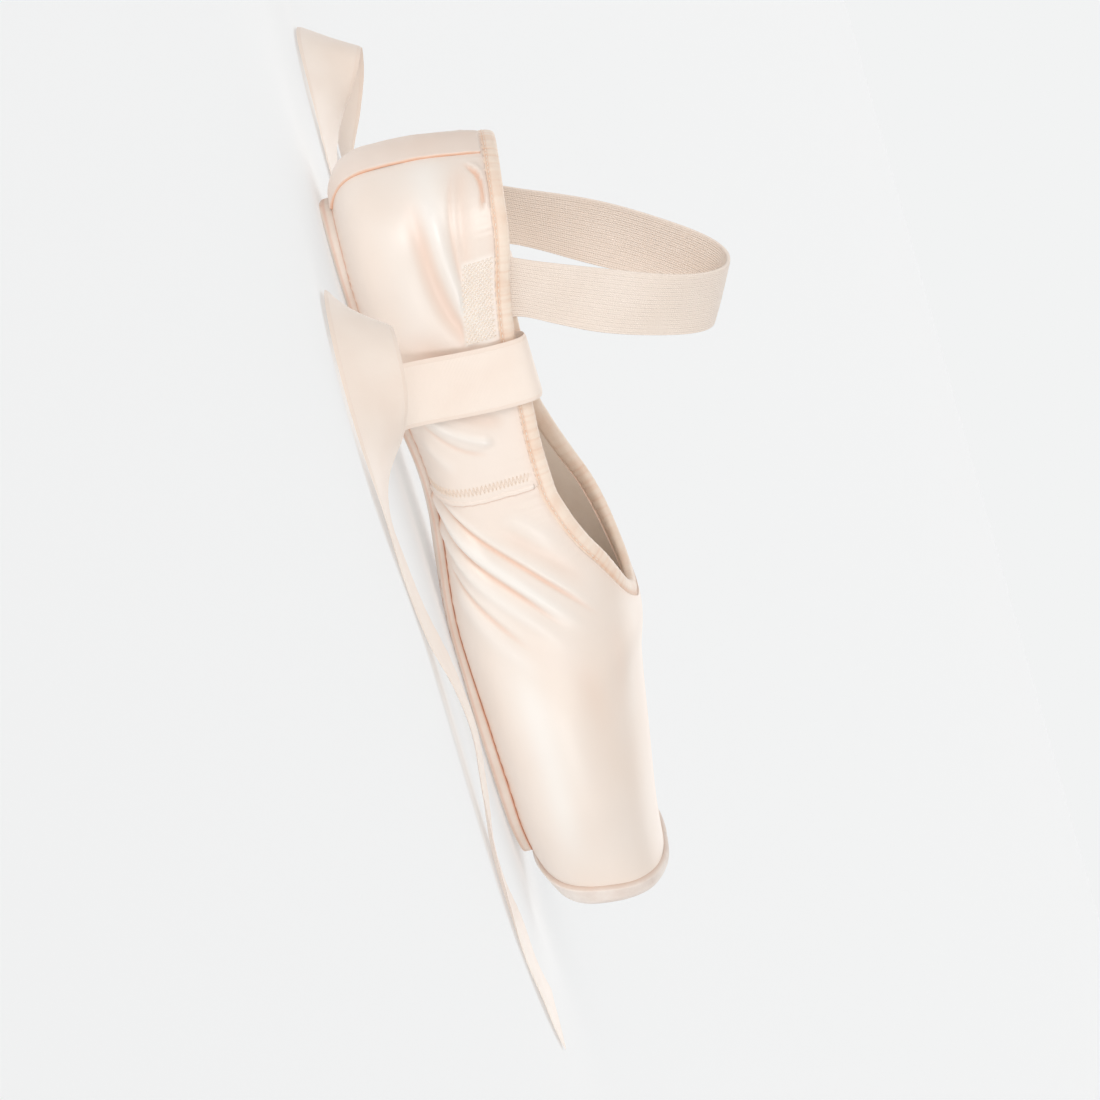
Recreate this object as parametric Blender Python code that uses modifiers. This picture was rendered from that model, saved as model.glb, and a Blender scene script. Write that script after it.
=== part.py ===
# A pointe shoe, right foot, standing empty on its sole.
# +X points to the toe, +Y to the inner side, +Z up; the origin is under the middle of the shoe.

import math
from collections import namedtuple
from functools import lru_cache

import bmesh
import bpy
from mathutils import Vector

# Driving dimensions of the last, in metres
LENGTH = 0.245
BOX_WIDTH = 0.080
HEEL_WIDTH = 0.059
INSTEP_HEIGHT = 0.0565
HEEL_HEIGHT = 0.055
HEEL_LEAN = 0.0035
VAMP_LENGTH = 0.092
PLATFORM_WIDTH = 0.054
PLATFORM_HEIGHT = 0.0325
PLATFORM_LIFT = 0.0085
PLATFORM_ROUND = 0.003
PLATFORM_LEAN = math.radians(5.0)

# Walls and layers
GAP = 0.0003
SOLE_GAP = 0.0004
SUEDE_GAP = 0.0006
QUARTER_WALL = 0.0016
BOX_WALL = 0.0034
SUEDE_THICK = 0.0010
STRIP_THICK = 0.0008
STRIP_WIDTH = 0.015
SEAM_THICK = 0.0008
SEAM_WIDTH = 0.0022
SEAM_PLACE = -0.098 * LENGTH
SEAM_SLANT = 0.004
SEAM_SIDES = (-1.0, -0.4, 0.4, 1.0)
SEAM_EDGE_SHARE = 0.6
INSOLE_THICK = 0.0015
INSOLE_MARGIN = 0.0005
INSOLE_EDGE_LIFT = 0.0009

# Outsole
SOLE_THICK = 0.0022
SOLE_EDGE_RISE = 0.0008
SOLE_HEEL_INSET = 0.012
SOLE_TIP_INSET = 0.0185
SOLE_HEEL_WIDTH = 0.0335
SOLE_TREAD_WIDTH = 0.0540
SOLE_TIP_WIDTH = 0.0345
SOLE_CORNER = 0.005
SOLE_FLAT_SHARE = 0.6
ARCH_RISE = 0.005
TOE_SPRING = 0.0015
ARCH_START = 0.19
ARCH_END = 0.62
SPRING_START = 0.847

# Slot underneath the upper, closed by the outsole and the insole
SLOT_SHARE = 0.55
SLOT_START = 0.16
SLOT_END = 0.84
SLOT_TAPER = 0.05

# Collar binding, the casing of the drawstring
BINDING_WIDTH = 0.0052
BINDING_THICK = 0.0030
BINDING_SQUARENESS = 2.8

# Elastic strap over the ankle
STRAP_WIDTH = 0.020
STRAP_THICK = 0.0010
STRAP_PLACE = -0.355 * LENGTH
STRAP_RISE = 0.064
STRAP_TILT = math.radians(62.0)
STRAP_ROUNDNESS = 2.3
STRAP_CLEAR = 0.0012
STRAP_TUCK = 0.016
STRAP_TUCK_SHARES = (-1.0, -0.7, -0.4, -0.1)

# Ribbons
RIBBON_WIDTH = 0.020
RIBBON_THICK = 0.0006
RIBBON_LEVEL_FROM = 0.4
RIBBON_LEVEL_SPAN = 0.4

# Plain colour and roughness of each material
SATIN = ((0.93, 0.76, 0.64), 0.35)
FOLDED_SATIN = ((0.93, 0.74, 0.62), 0.4)
BINDING_TAPE = ((0.93, 0.78, 0.67), 0.5)
SUEDE = ((0.76, 0.64, 0.58), 0.95)
SOLE_LEATHER = ((0.83, 0.72, 0.64), 0.6)
LINING = ((0.86, 0.78, 0.70), 0.8)
ELASTIC = ((0.90, 0.78, 0.70), 0.5)
RIBBON_SATIN = ((0.93, 0.80, 0.72), 0.5)

# Where the last's parts lie along X
STRIP_PROUD = GAP + STRIP_THICK
SUEDE_PROUD = SUEDE_GAP + SUEDE_THICK
HEEL_RADIUS = HEEL_WIDTH / 2
HEEL_CENTRE = -LENGTH / 2 + STRIP_PROUD + HEEL_RADIUS
TOE_LEAN_REACH = (PLATFORM_HEIGHT / 2 - PLATFORM_ROUND) * math.tan(PLATFORM_LEAN)
TOE_END = LENGTH / 2 - SUEDE_PROUD - TOE_LEAN_REACH
SOLE_HEEL_END = -LENGTH / 2 + SOLE_HEEL_INSET
SOLE_TIP = LENGTH / 2 - SOLE_TIP_INSET
THROAT = LENGTH / 2 - VAMP_LENGTH + BINDING_WIDTH + GAP
PLATFORM_TOP = PLATFORM_LIFT + PLATFORM_HEIGHT
PLATFORM_MIDDLE = PLATFORM_LIFT + PLATFORM_HEIGHT / 2
SEAT = SOLE_THICK + SOLE_GAP
DOWN = -math.pi / 2
UP = math.pi / 2
TINY = 1e-7
WELD = 1e-5
SHARP_ANGLE = math.radians(40)

# The last, a row for each section from heel to toe. along: share of the length. heel, box, tip: shares of
# those three widths that add up to the section's width. quarter, instep, toe: shares of the heel height, the
# instep height and the platform's top that add up to its crown, which in the quarters is the height that the
# walls lean in towards. widest: share of the way up to its widest place. lower, upper: how square it is.
Section = namedtuple("Section", "along heel box tip quarter instep toe widest lower upper")
LAST = [
    Section(0.12, 1.00, 0.00, 0.00, 1.45, 0.00, 0.00, 0.226, 3.2, 2.3),
    Section(0.30, 0.97, 0.00, 0.00, 1.00, 0.37, 0.00, 0.236, 3.0, 2.3),
    Section(0.42, 0.85, 0.15, 0.00, 0.60, 0.62, 0.00, 0.220, 3.0, 2.3),
    Section(0.50, 0.55, 0.44, 0.00, 0.30, 0.80, 0.00, 0.265, 3.0, 2.3),
    Section(0.58, 0.25, 0.74, 0.00, 0.06, 0.96, 0.00, 0.320, 3.2, 2.3),
    Section(0.65, 0.06, 0.93, 0.00, 0.00, 0.98, 0.01, 0.345, 3.4, 2.3),
    Section(0.71, 0.00, 1.00, 0.00, 0.00, 0.78, 0.20, 0.370, 3.5, 2.3),
    Section(0.83, 0.00, 0.80, 0.20, 0.00, 0.42, 0.57, 0.430, 3.4, 2.3),
    Section(0.93, 0.00, 0.33, 0.67, 0.00, 0.13, 0.87, 0.487, 3.1, 2.4),
    Section(1.00, 0.00, 0.00, 1.00, 0.00, 0.00, 1.00, 0.500, 2.8, 2.6),
]

# The collar's cut edge. along: share of the way from the back of the heel to the throat.
# rise: share of the way from the section's widest place to its crown.
Collar = namedtuple("Collar", "along rise")
COLLAR = [
    Collar(0.00, 0.490),
    Collar(0.12, 0.450),
    Collar(0.25, 0.375),
    Collar(0.38, 0.325),
    Collar(0.52, 0.315),
    Collar(0.65, 0.370),
    Collar(0.72, 0.460),
    Collar(0.78, 0.575),
    Collar(0.84, 0.715),
    Collar(0.905, 0.845),
    Collar(0.937, 0.905),
    Collar(0.967, 0.960),
    Collar(0.985, 0.985),
    Collar(1.00, 1.000),
]

# The outsole's outline. along: share of its length from the heel's full width to the tip.
# heel, tread, tip: shares of its three widths.
Outline = namedtuple("Outline", "along heel tread tip")
OUTLINE = [
    Outline(0.00, 1.00, 0.00, 0.00),
    Outline(0.22, 0.96, 0.00, 0.00),
    Outline(0.42, 0.93, 0.00, 0.00),
    Outline(0.52, 0.94, 0.02, 0.00),
    Outline(0.64, 0.40, 0.52, 0.00),
    Outline(0.75, 0.06, 0.96, 0.00),
    Outline(0.82, 0.00, 0.98, 0.00),
    Outline(0.91, 0.00, 0.55, 0.52),
    Outline(1.00, 0.00, 0.00, 1.00),
]

# Steps of the meshes
FAN_STEPS = 9
QUARTER_STEPS = 11
THROAT_STEPS = 7
VAMP_STEPS = 8
TIP_STEPS = 5
ROUND_STEPS = 4
RING_STEPS = 15
SWEEP_STEPS = 10
BINDING_SIDES = 8
HEEL_ARC_STEPS = 7
CORNER_STEPS = 3
STRIP_STEPS = 2
STRIP_RING_STEPS = 10
SEAM_STEPS = 12
STRAP_ARCH_STEPS = 10
RIBBON_STEP = 0.008
SOLE_STEP = 0.013
SWEEP_POWER = 3.0
THROAT_REACH = 0.026
CAP_SHARES = (0.7, 0.35, 0.0)
CROSS_SHARES = (0.0, 0.3, SOLE_FLAT_SHARE, 0.83, 1.0)

# A rib is one upright cut through the last: where it stands, how far it is turned out of the heel's back,
# how far it is drawn in at the platform's rim, and how far it is shrunk across the platform's face.
Rib = namedtuple("Rib", "x turn shrink scale")

shoe = None


def clear_scene():
    for obj in list(bpy.data.objects):
        bpy.data.objects.remove(obj, do_unlink=True)


def start_collection(name):
    collection = bpy.data.collections.new(name)
    bpy.context.scene.collection.children.link(collection)
    return collection


def make_material(name, colour, roughness):
    material = bpy.data.materials.new(name)
    material.use_nodes = True
    shader = material.node_tree.nodes["Principled BSDF"]
    shader.inputs["Base Color"].default_value = (*colour, 1.0)
    shader.inputs["Roughness"].default_value = roughness
    shader.inputs["Metallic"].default_value = 0.0
    material.diffuse_color = (*colour, 1.0)
    return material


def ease(share):
    share = min(max(share, 0.0), 1.0)
    return share * share * (3.0 - 2.0 * share)


def read(table, name, along):
    # A smooth curve through one column, with no swing past its own values
    places = [row.along for row in table]
    values = [getattr(row, name) for row in table]
    if along <= places[0]:
        return values[0]
    if along >= places[-1]:
        return values[-1]
    last = len(table) - 1
    steps = [(values[k + 1] - values[k]) / (places[k + 1] - places[k]) for k in range(last)]
    k = max(index for index in range(last) if places[index] <= along)

    def slope(index):
        if index == 0:
            return steps[0]
        if index == last:
            return steps[-1]
        before = steps[index - 1]
        after = steps[index]
        return 0.0 if before * after <= 0 else 2.0 * before * after / (before + after)

    span = places[k + 1] - places[k]
    t = (along - places[k]) / span
    rise = values[k + 1] - values[k]
    curve = values[k] + rise * t * t * (3.0 - 2.0 * t)
    return curve + span * t * (1.0 - t) * (slope(k) * (1.0 - t) - slope(k + 1) * t)


def ground(x):
    # The height of the outsole's underside along its middle line
    along = x / LENGTH + 0.5
    arch = (along - ARCH_START) / (ARCH_END - ARCH_START)
    if 0.0 < arch < 1.0:
        return ARCH_RISE * math.sin(math.pi * arch) ** 2
    spring_from = (SPRING_START - 0.5) * LENGTH
    if x > spring_from:
        return TOE_SPRING * ((min(x, SOLE_TIP) - spring_from) / (SOLE_TIP - spring_from)) ** 2
    return 0.0


def underside(x):
    # The height of the upper's bottom, which climbs from the sole's tip to the platform
    height = SEAT + ground(x)
    if x <= SOLE_TIP:
        return height
    slope = 2.0 * TOE_SPRING / (SOLE_TIP - (SPRING_START - 0.5) * LENGTH)
    reach = TOE_END - SOLE_TIP
    ahead = min(x, TOE_END) - SOLE_TIP
    bend = (PLATFORM_LIFT - height - slope * reach) / reach**2
    return height + slope * ahead + bend * ahead**2


Cut = namedtuple("Cut", "half bottom widest crown lower upper")


@lru_cache(maxsize=None)
def cut_at(x):
    along = x / LENGTH + 0.5
    widths = (("heel", HEEL_WIDTH), ("box", BOX_WIDTH), ("tip", PLATFORM_WIDTH))
    heights = (("quarter", HEEL_HEIGHT), ("instep", INSTEP_HEIGHT), ("toe", PLATFORM_TOP))
    half = sum(read(LAST, name, along) * width / 2 for name, width in widths)
    crown = sum(read(LAST, name, along) * height for name, height in heights)
    bottom = underside(x)
    widest = bottom + (crown - bottom) * read(LAST, "widest", along)
    return Cut(half, bottom, widest, crown, read(LAST, "lower", along), read(LAST, "upper", along))


def wall_at(x):
    return QUARTER_WALL + (BOX_WALL - QUARTER_WALL) * ease((x - SEAM_PLACE) / (THROAT - SEAM_PLACE))


def place(rib, angle, inset=0.0):
    # A point of the last at one rib and angle, from straight down to straight up, drawn in by the inset
    cut = cut_at(rib.x)
    power = cut.lower if angle < 0 else cut.upper
    side = abs(math.cos(angle))
    rise = abs(math.sin(angle))
    norm = (side**power + rise**power) ** (-1.0 / power)
    drawn = rib.shrink + inset
    reach = (cut.half - drawn) * side * norm * rib.scale
    tall = cut.widest - cut.bottom if angle < 0 else cut.crown - cut.widest
    height = cut.widest + math.copysign((tall - drawn) * rise * norm * rib.scale, angle)
    back = math.cos(rib.turn)
    above = max(height - cut.widest, 0.0) / (HEEL_HEIGHT - cut.widest)
    reach -= HEEL_LEAN * back**2 * above**1.5
    x = rib.x - reach * back
    y = -reach * math.sin(rib.turn)
    x -= inset * max(rib.x - THROAT, 0.0) / (TOE_END - THROAT)
    lean = ease((rib.x - SOLE_TIP) / (TOE_END - SOLE_TIP))
    x += (height - PLATFORM_MIDDLE) * math.tan(PLATFORM_LEAN) * lean
    return Vector((x, 0.0 if abs(y) < TINY else y, height))


def straight(x):
    return Rib(x, UP, 0.0, 1.0)


def fan(turn):
    return Rib(HEEL_CENTRE, turn, 0.0, 1.0)


def angle_at_reach(x, reach):
    # The angle on the section's lower half at this distance from its middle
    cut = cut_at(x)
    side = min(reach / cut.half, 1.0)
    return -math.atan2((1.0 - side**cut.lower) ** (1.0 / cut.lower), side)


def angle_at_rise(x, rise):
    # The angle on the section's upper half at this share of the way up to its crown
    power = cut_at(x).upper
    return math.atan2(rise, max(1.0 - rise**power, 0.0) ** (1.0 / power))


def collar_angle(rib):
    outer = rib.x - HEEL_RADIUS * math.cos(rib.turn)
    back = HEEL_CENTRE - HEEL_RADIUS
    along = (outer - back) / (THROAT - back)
    return UP if along >= 1.0 - TINY else angle_at_rise(rib.x, read(COLLAR, "rise", along))


def sole_half(x, margin=0.0):
    # Half the outsole's width, with a round heel end and two small corners at the tip
    radius = SOLE_HEEL_WIDTH / 2 + margin
    first = SOLE_HEEL_END + SOLE_HEEL_WIDTH / 2
    if x < first:
        half = math.sqrt(max(radius**2 - (first - x) ** 2, 0.0))
        return half if half > TINY else 0.0
    along = (x - first) / (SOLE_TIP - first)
    widths = (("heel", SOLE_HEEL_WIDTH), ("tread", SOLE_TREAD_WIDTH), ("tip", SOLE_TIP_WIDTH))
    half = sum(read(OUTLINE, name, along) * width / 2 for name, width in widths) + margin
    past = x - (SOLE_TIP + margin - SOLE_CORNER)
    if past > 0:
        half -= SOLE_CORNER - math.sqrt(max(SOLE_CORNER**2 - past**2, 0.0))
    return half


def slot_half(x):
    along = x / LENGTH + 0.5
    inside = min(along - SLOT_START, SLOT_END - along)
    if inside <= TINY:
        return 0.0
    end = min(inside / SLOT_TAPER, 1.0)
    return SLOT_SHARE * sole_half(x) * math.sqrt(end * (2.0 - end))


def bottom_angle(rib):
    slot = slot_half(rib.x) if rib.turn == UP else 0.0
    return angle_at_reach(rib.x, slot) if slot > 0 else DOWN


def height_under(x, y, inset=0.0):
    # The height of the last's underside, or of its wall's inner side, over one point of the floor
    if x > THROAT:
        drawn = inset / (TOE_END - THROAT)
        x = (x - THROAT * drawn) / (1.0 - drawn)
    if x < HEEL_CENTRE:
        reach = math.hypot(x - HEEL_CENTRE, y)
        cut = cut_at(HEEL_CENTRE)
    else:
        reach = abs(y)
        cut = cut_at(x)
    side = min(reach / (cut.half - inset), 1.0)
    tall = cut.widest - cut.bottom - inset
    return cut.widest - tall * (1.0 - side**cut.lower) ** (1.0 / cut.lower)


def finish(name, mesh, look):
    obj = bpy.data.objects.new(name, mesh)
    shoe.objects.link(obj)
    mesh.materials.append(make_material(name, *look))
    for polygon in mesh.polygons:
        polygon.use_smooth = True
    mesh.set_sharp_from_angle(angle=SHARP_ANGLE)
    return obj


def add_mirror(obj):
    mirror = obj.modifiers.new("other_half", "MIRROR")
    mirror.use_axis = (False, True, False)
    mirror.use_clip = True
    mirror.merge_threshold = WELD


def quads(rows, columns):
    for i in range(rows - 1):
        for j in range(columns - 1):
            yield (i, j), (i + 1, j), (i + 1, j + 1), (i, j + 1)


def build_shell(name, outer, inner, look, mirrored=True):
    # A solid between two grids of points, closed along each border that doesn't lie on the mirror's plane
    index = {}
    grid = {}
    outer_points = []
    inner_points = []
    for i, row in enumerate(outer):
        for j, point in enumerate(row):
            key = tuple(round(value / TINY) for value in point)
            if key not in index:
                index[key] = len(outer_points)
                outer_points.append(point)
                inner_points.append(inner[i][j])
            grid[i, j] = index[key]
    count = len(outer_points)
    skin = []
    for corners in quads(len(outer), len(outer[0])):
        face = list(dict.fromkeys(grid[corner] for corner in corners))
        if len(face) > 2:
            skin.append(face)
    edges = {(face[k - 1], face[k]) for face in skin for k in range(len(face))}
    faces = [tuple(face) for face in skin]
    faces += [tuple(count + vertex for vertex in reversed(face)) for face in skin]
    for start, end in sorted(edges):
        on_plane = mirrored and outer_points[start].y == 0.0 == outer_points[end].y
        if (end, start) not in edges and not on_plane:
            faces.append((end, start, count + start, count + end))
    mesh = bpy.data.meshes.new(name)
    mesh.from_pydata(outer_points + inner_points, [], faces)
    mesh.validate()
    obj = finish(name, mesh, look)
    if mirrored:
        add_mirror(obj)
    return obj


def ring_of(rib, low, high, inset, steps):
    return [place(rib, low + (high - low) * j / steps, inset) for j in range(steps + 1)]


def quarter_ribs():
    ribs = [fan(UP * k / FAN_STEPS) for k in range(FAN_STEPS)]
    first = THROAT - THROAT_REACH
    ribs += [straight(HEEL_CENTRE + (first - HEEL_CENTRE) * k / QUARTER_STEPS) for k in range(QUARTER_STEPS)]
    ribs += [straight(THROAT - THROAT_REACH * (1 - k / THROAT_STEPS) ** 2) for k in range(THROAT_STEPS)]
    return ribs


def toe_ribs():
    # Round the platform's rim and across its face to the middle
    ribs = []
    for k in range(1, ROUND_STEPS + 1):
        turn = UP * k / ROUND_STEPS
        drawn = PLATFORM_ROUND * (1.0 - math.cos(turn))
        ribs.append(Rib(TOE_END - PLATFORM_ROUND * (1.0 - math.sin(turn)), UP, drawn, 1.0))
    ribs += [Rib(TOE_END, UP, PLATFORM_ROUND, share) for share in CAP_SHARES]
    return ribs


def vamp_ribs():
    ribs = [straight(THROAT + (SOLE_TIP - THROAT) * k / VAMP_STEPS) for k in range(VAMP_STEPS)]
    last = TOE_END - PLATFORM_ROUND
    ribs += [straight(SOLE_TIP + (last - SOLE_TIP) * k / TIP_STEPS) for k in range(TIP_STEPS + 1)]
    return ribs


def build_upper():
    ribs = quarter_ribs() + vamp_ribs() + toe_ribs()
    outer = []
    inner = []
    for rib in ribs:
        low = bottom_angle(rib)
        high = collar_angle(rib)
        outer.append(ring_of(rib, low, high, 0.0, RING_STEPS))
        inner.append(ring_of(rib, low, high, wall_at(rib.x), RING_STEPS))
    return build_shell("upper", outer, inner, SATIN)


def plan_stations(start, first, end):
    # Places along a sole: close together round the heel and at the tip's corners
    turns = [UP * k / HEEL_ARC_STEPS for k in range(HEEL_ARC_STEPS)]
    stations = [start + (first - start) * (1.0 - math.cos(turn)) for turn in turns]
    last = end - SOLE_CORNER
    flats = [(share - 0.5) * LENGTH for share in (ARCH_START, ARCH_END, SPRING_START)]
    stops = [first] + flats + [last]
    for begin, stop in zip(stops, stops[1:]):
        steps = max(1, round((stop - begin) / SOLE_STEP))
        stations += [begin + (stop - begin) * k / steps for k in range(steps)]
    stations += [last + SOLE_CORNER * math.sin(UP * k / CORNER_STEPS) for k in range(CORNER_STEPS + 1)]
    return stations


def build_outsole():
    first = SOLE_HEEL_END + SOLE_HEEL_WIDTH / 2
    under = []
    top = []
    for x in plan_stations(SOLE_HEEL_END, first, SOLE_TIP):
        half = sole_half(x)
        low = []
        high = []
        for share in CROSS_SHARES:
            y = -half * share
            raised = max(share - SOLE_FLAT_SHARE, 0.0) / (1.0 - SOLE_FLAT_SHARE)
            low.append(Vector((x, y, ground(x) + SOLE_EDGE_RISE * raised**2)))
            high.append(Vector((x, y, height_under(x, y) - SOLE_GAP)))
        under.append(low)
        top.append(high)
    return build_shell("outsole", under, top, SOLE_LEATHER)


def build_insole():
    # Lies on the upper's inner bottom, over the slot
    start = SOLE_HEEL_END - INSOLE_MARGIN
    first = SOLE_HEEL_END + SOLE_HEEL_WIDTH / 2
    end = SOLE_TIP - SOLE_CORNER
    under = []
    top = []
    for x in plan_stations(start, first, end):
        half = sole_half(x, INSOLE_MARGIN)
        edge_lift = INSOLE_EDGE_LIFT * min(2.0 * half / SOLE_HEEL_WIDTH, 1.0)
        low = []
        high = []
        for share in CROSS_SHARES:
            y = -half * share
            floor = height_under(x, y, wall_at(x)) + GAP + edge_lift * share**2
            low.append(Vector((x, y, floor)))
            high.append(Vector((x, y, floor + INSOLE_THICK)))
        under.append(low)
        top.append(high)
    return build_shell("insole", under, top, LINING)


def build_heel_strip():
    half_turn = math.asin(STRIP_WIDTH / 2 / HEEL_RADIUS)
    sole_reach = HEEL_CENTRE - SOLE_HEEL_END + 2 * GAP
    outer = []
    inner = []
    for k in range(STRIP_STEPS + 1):
        rib = fan(half_turn * k / STRIP_STEPS)
        low = angle_at_reach(rib.x, sole_reach)
        high = collar_angle(rib) - 1.5 * GAP / HEEL_RADIUS
        outer.append(ring_of(rib, low, high, -STRIP_PROUD, STRIP_RING_STEPS))
        inner.append(ring_of(rib, low, high, -GAP, STRIP_RING_STEPS))
    return build_shell("heel_strip", outer, inner, SATIN)


def seam_rib(angle, side):
    up = (angle - DOWN) / (UP - DOWN)
    return straight(SEAM_PLACE + SEAM_SLANT * up + SEAM_WIDTH / 2 * side)


def build_side_seam(name, mirror_sign):
    low = angle_at_reach(SEAM_PLACE, sole_half(SEAM_PLACE) + 3 * GAP)
    high = collar_angle(straight(SEAM_PLACE)) - 1.5 * GAP / HEEL_RADIUS
    outer = []
    inner = []
    angles = [low + (high - low) * j / SEAM_STEPS for j in range(SEAM_STEPS + 1)]
    for side in SEAM_SIDES:
        proud = GAP + SEAM_THICK * (1.0 if abs(side) < 1.0 else SEAM_EDGE_SHARE)
        outer.append([place(seam_rib(angle, side), angle, -proud) for angle in angles])
        inner.append([place(seam_rib(angle, side), angle, -GAP) for angle in angles])
    if mirror_sign > 0:
        flip = Vector((1.0, -1.0, 1.0))
        outer = [[point * flip for point in row] for row in reversed(outer)]
        inner = [[point * flip for point in row] for row in reversed(inner)]
    return build_shell(name, outer, inner, FOLDED_SATIN, mirrored=False)


def build_toe_suede():
    # Covers the platform and the underside between it and the sole's tip
    start = SOLE_TIP + 2 * GAP
    last = TOE_END - PLATFORM_ROUND
    first_angle = angle_at_reach(start, SOLE_TIP_WIDTH / 2)
    outer = []
    inner = []
    for k in range(SWEEP_STEPS + 1):
        swept = k / SWEEP_STEPS
        rib = straight(start + (last - start) * swept ** (1.0 / SWEEP_POWER))
        high = first_angle + (UP - first_angle) * swept
        outer.append(ring_of(rib, DOWN, high, -SUEDE_PROUD, RING_STEPS))
        inner.append(ring_of(rib, DOWN, high, -SUEDE_GAP, RING_STEPS))
    for rib in toe_ribs():
        outer.append(ring_of(rib, DOWN, UP, -SUEDE_PROUD, RING_STEPS))
        inner.append(ring_of(rib, DOWN, UP, -SUEDE_GAP, RING_STEPS))
    return build_shell("toe_suede", outer, inner, SUEDE)


def outward_at(rib, angle):
    # The last's outward direction, from a small step along it and a small step up it
    step = 0.01
    turned = rib.turn + step if rib.turn < UP else UP
    moved = rib.x if rib.turn < UP else rib.x + step * HEEL_RADIUS
    point = place(rib, angle)
    along = place(Rib(moved, turned, rib.shrink, rib.scale), angle) - point
    up = point - place(rib, angle - step)
    return along.cross(up).normalized()


def collar_frames():
    # At each rib the middle of the cut edge, the way out of the wall and the way on past the edge
    ribs = quarter_ribs() + [straight(THROAT)]
    middles = [place(rib, collar_angle(rib), wall_at(rib.x) / 2) for rib in ribs]
    frames = []
    for k, rib in enumerate(ribs):
        outward = outward_at(rib, collar_angle(rib))
        if k == 0:
            run = Vector((0.0, -1.0, 0.0))
        elif k == len(ribs) - 1:
            run = Vector((0.0, 1.0, 0.0))
        else:
            run = (middles[k + 1] - middles[k - 1]).normalized()
        onward = outward.cross(run).normalized()
        frames.append((middles[k], run.cross(onward).normalized(), onward))
    return frames


def build_collar_binding():
    power = BINDING_SQUARENESS
    rings = []
    for middle, outward, onward in collar_frames():
        centre = middle + onward * (GAP + BINDING_WIDTH / 2)
        ring = []
        for k in range(BINDING_SIDES):
            turn = 2.0 * math.pi * (k + 0.5) / BINDING_SIDES
            side = math.cos(turn)
            rise = math.sin(turn)
            norm = (abs(side) ** power + abs(rise) ** power) ** (-1.0 / power)
            point = centre + outward * (side * norm * BINDING_THICK / 2)
            ring.append(point + onward * (rise * norm * BINDING_WIDTH / 2))
        rings.append(ring)
    for ring in (rings[0], rings[-1]):
        for point in ring:
            point.y = 0.0
    points = [point for ring in rings for point in ring]
    faces = []
    for i in range(len(rings) - 1):
        near = i * BINDING_SIDES
        far = near + BINDING_SIDES
        for j in range(BINDING_SIDES):
            after = (j + 1) % BINDING_SIDES
            faces.append((near + j, far + j, far + after, near + after))
    mesh = bpy.data.meshes.new("collar_binding")
    mesh.from_pydata(points, [], faces)
    obj = finish("collar_binding", mesh, BINDING_TAPE)
    add_mirror(obj)
    return obj


def build_band(name, middles, sides, width, thick, shares, look):
    # A flat band: an open strip along its middle line, given its thickness
    bm = bmesh.new()
    rows = []
    for middle, side in zip(middles, sides):
        rows.append([bm.verts.new(middle + side * (width * share)) for share in shares])
    for before, after in zip(rows, rows[1:]):
        for j in range(len(shares) - 1):
            bm.faces.new((before[j], before[j + 1], after[j + 1], after[j]))
    mesh = bpy.data.meshes.new(name)
    bm.to_mesh(mesh)
    bm.free()
    obj = finish(name, mesh, look)
    solidify = obj.modifiers.new("thickness", "SOLIDIFY")
    solidify.thickness = thick
    solidify.offset = 0.0
    return obj


def build_elastic_strap():
    # Sewn inside both quarters, then an arch over the ankle that leans to the toe
    frames = collar_frames()
    middle, outward, onward = min(frames, key=lambda frame: abs(frame[0].x - STRAP_PLACE))
    inside = middle - outward * (BINDING_THICK / 2 + STRAP_THICK / 2 + STRAP_CLEAR)
    half = [inside + onward * (STRAP_TUCK * share) for share in STRAP_TUCK_SHARES]
    foot = inside + onward * (BINDING_WIDTH + GAP)
    half.append(foot)
    lean = Vector((math.cos(STRAP_TILT), 0.0, math.sin(STRAP_TILT)))
    for k in range(1, STRAP_ARCH_STEPS + 1):
        turn = UP * k / STRAP_ARCH_STEPS
        side = math.cos(turn)
        rise = math.sin(turn)
        norm = (side**STRAP_ROUNDNESS + rise**STRAP_ROUNDNESS) ** (-1.0 / STRAP_ROUNDNESS)
        half.append(Vector((foot.x, foot.y * side * norm, foot.z)) + lean * (STRAP_RISE * rise * norm))
    half[-1].y = 0.0
    flip = Vector((1.0, -1.0, 1.0))
    middles = half + [point * flip for point in reversed(half[:-1])]
    across = Vector((math.sin(STRAP_TILT), 0.0, -math.cos(STRAP_TILT)))
    sides = []
    for point in middles:
        share = ease((point.z - foot.z) / (STRAP_RISE / 2))
        sides.append((Vector((1.0, 0.0, 0.0)) * (1.0 - share) + across * share).normalized())
    return build_band("elastic_strap", middles, sides, STRAP_WIDTH, STRAP_THICK, (-0.5, 0.0, 0.5), ELASTIC)


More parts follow.
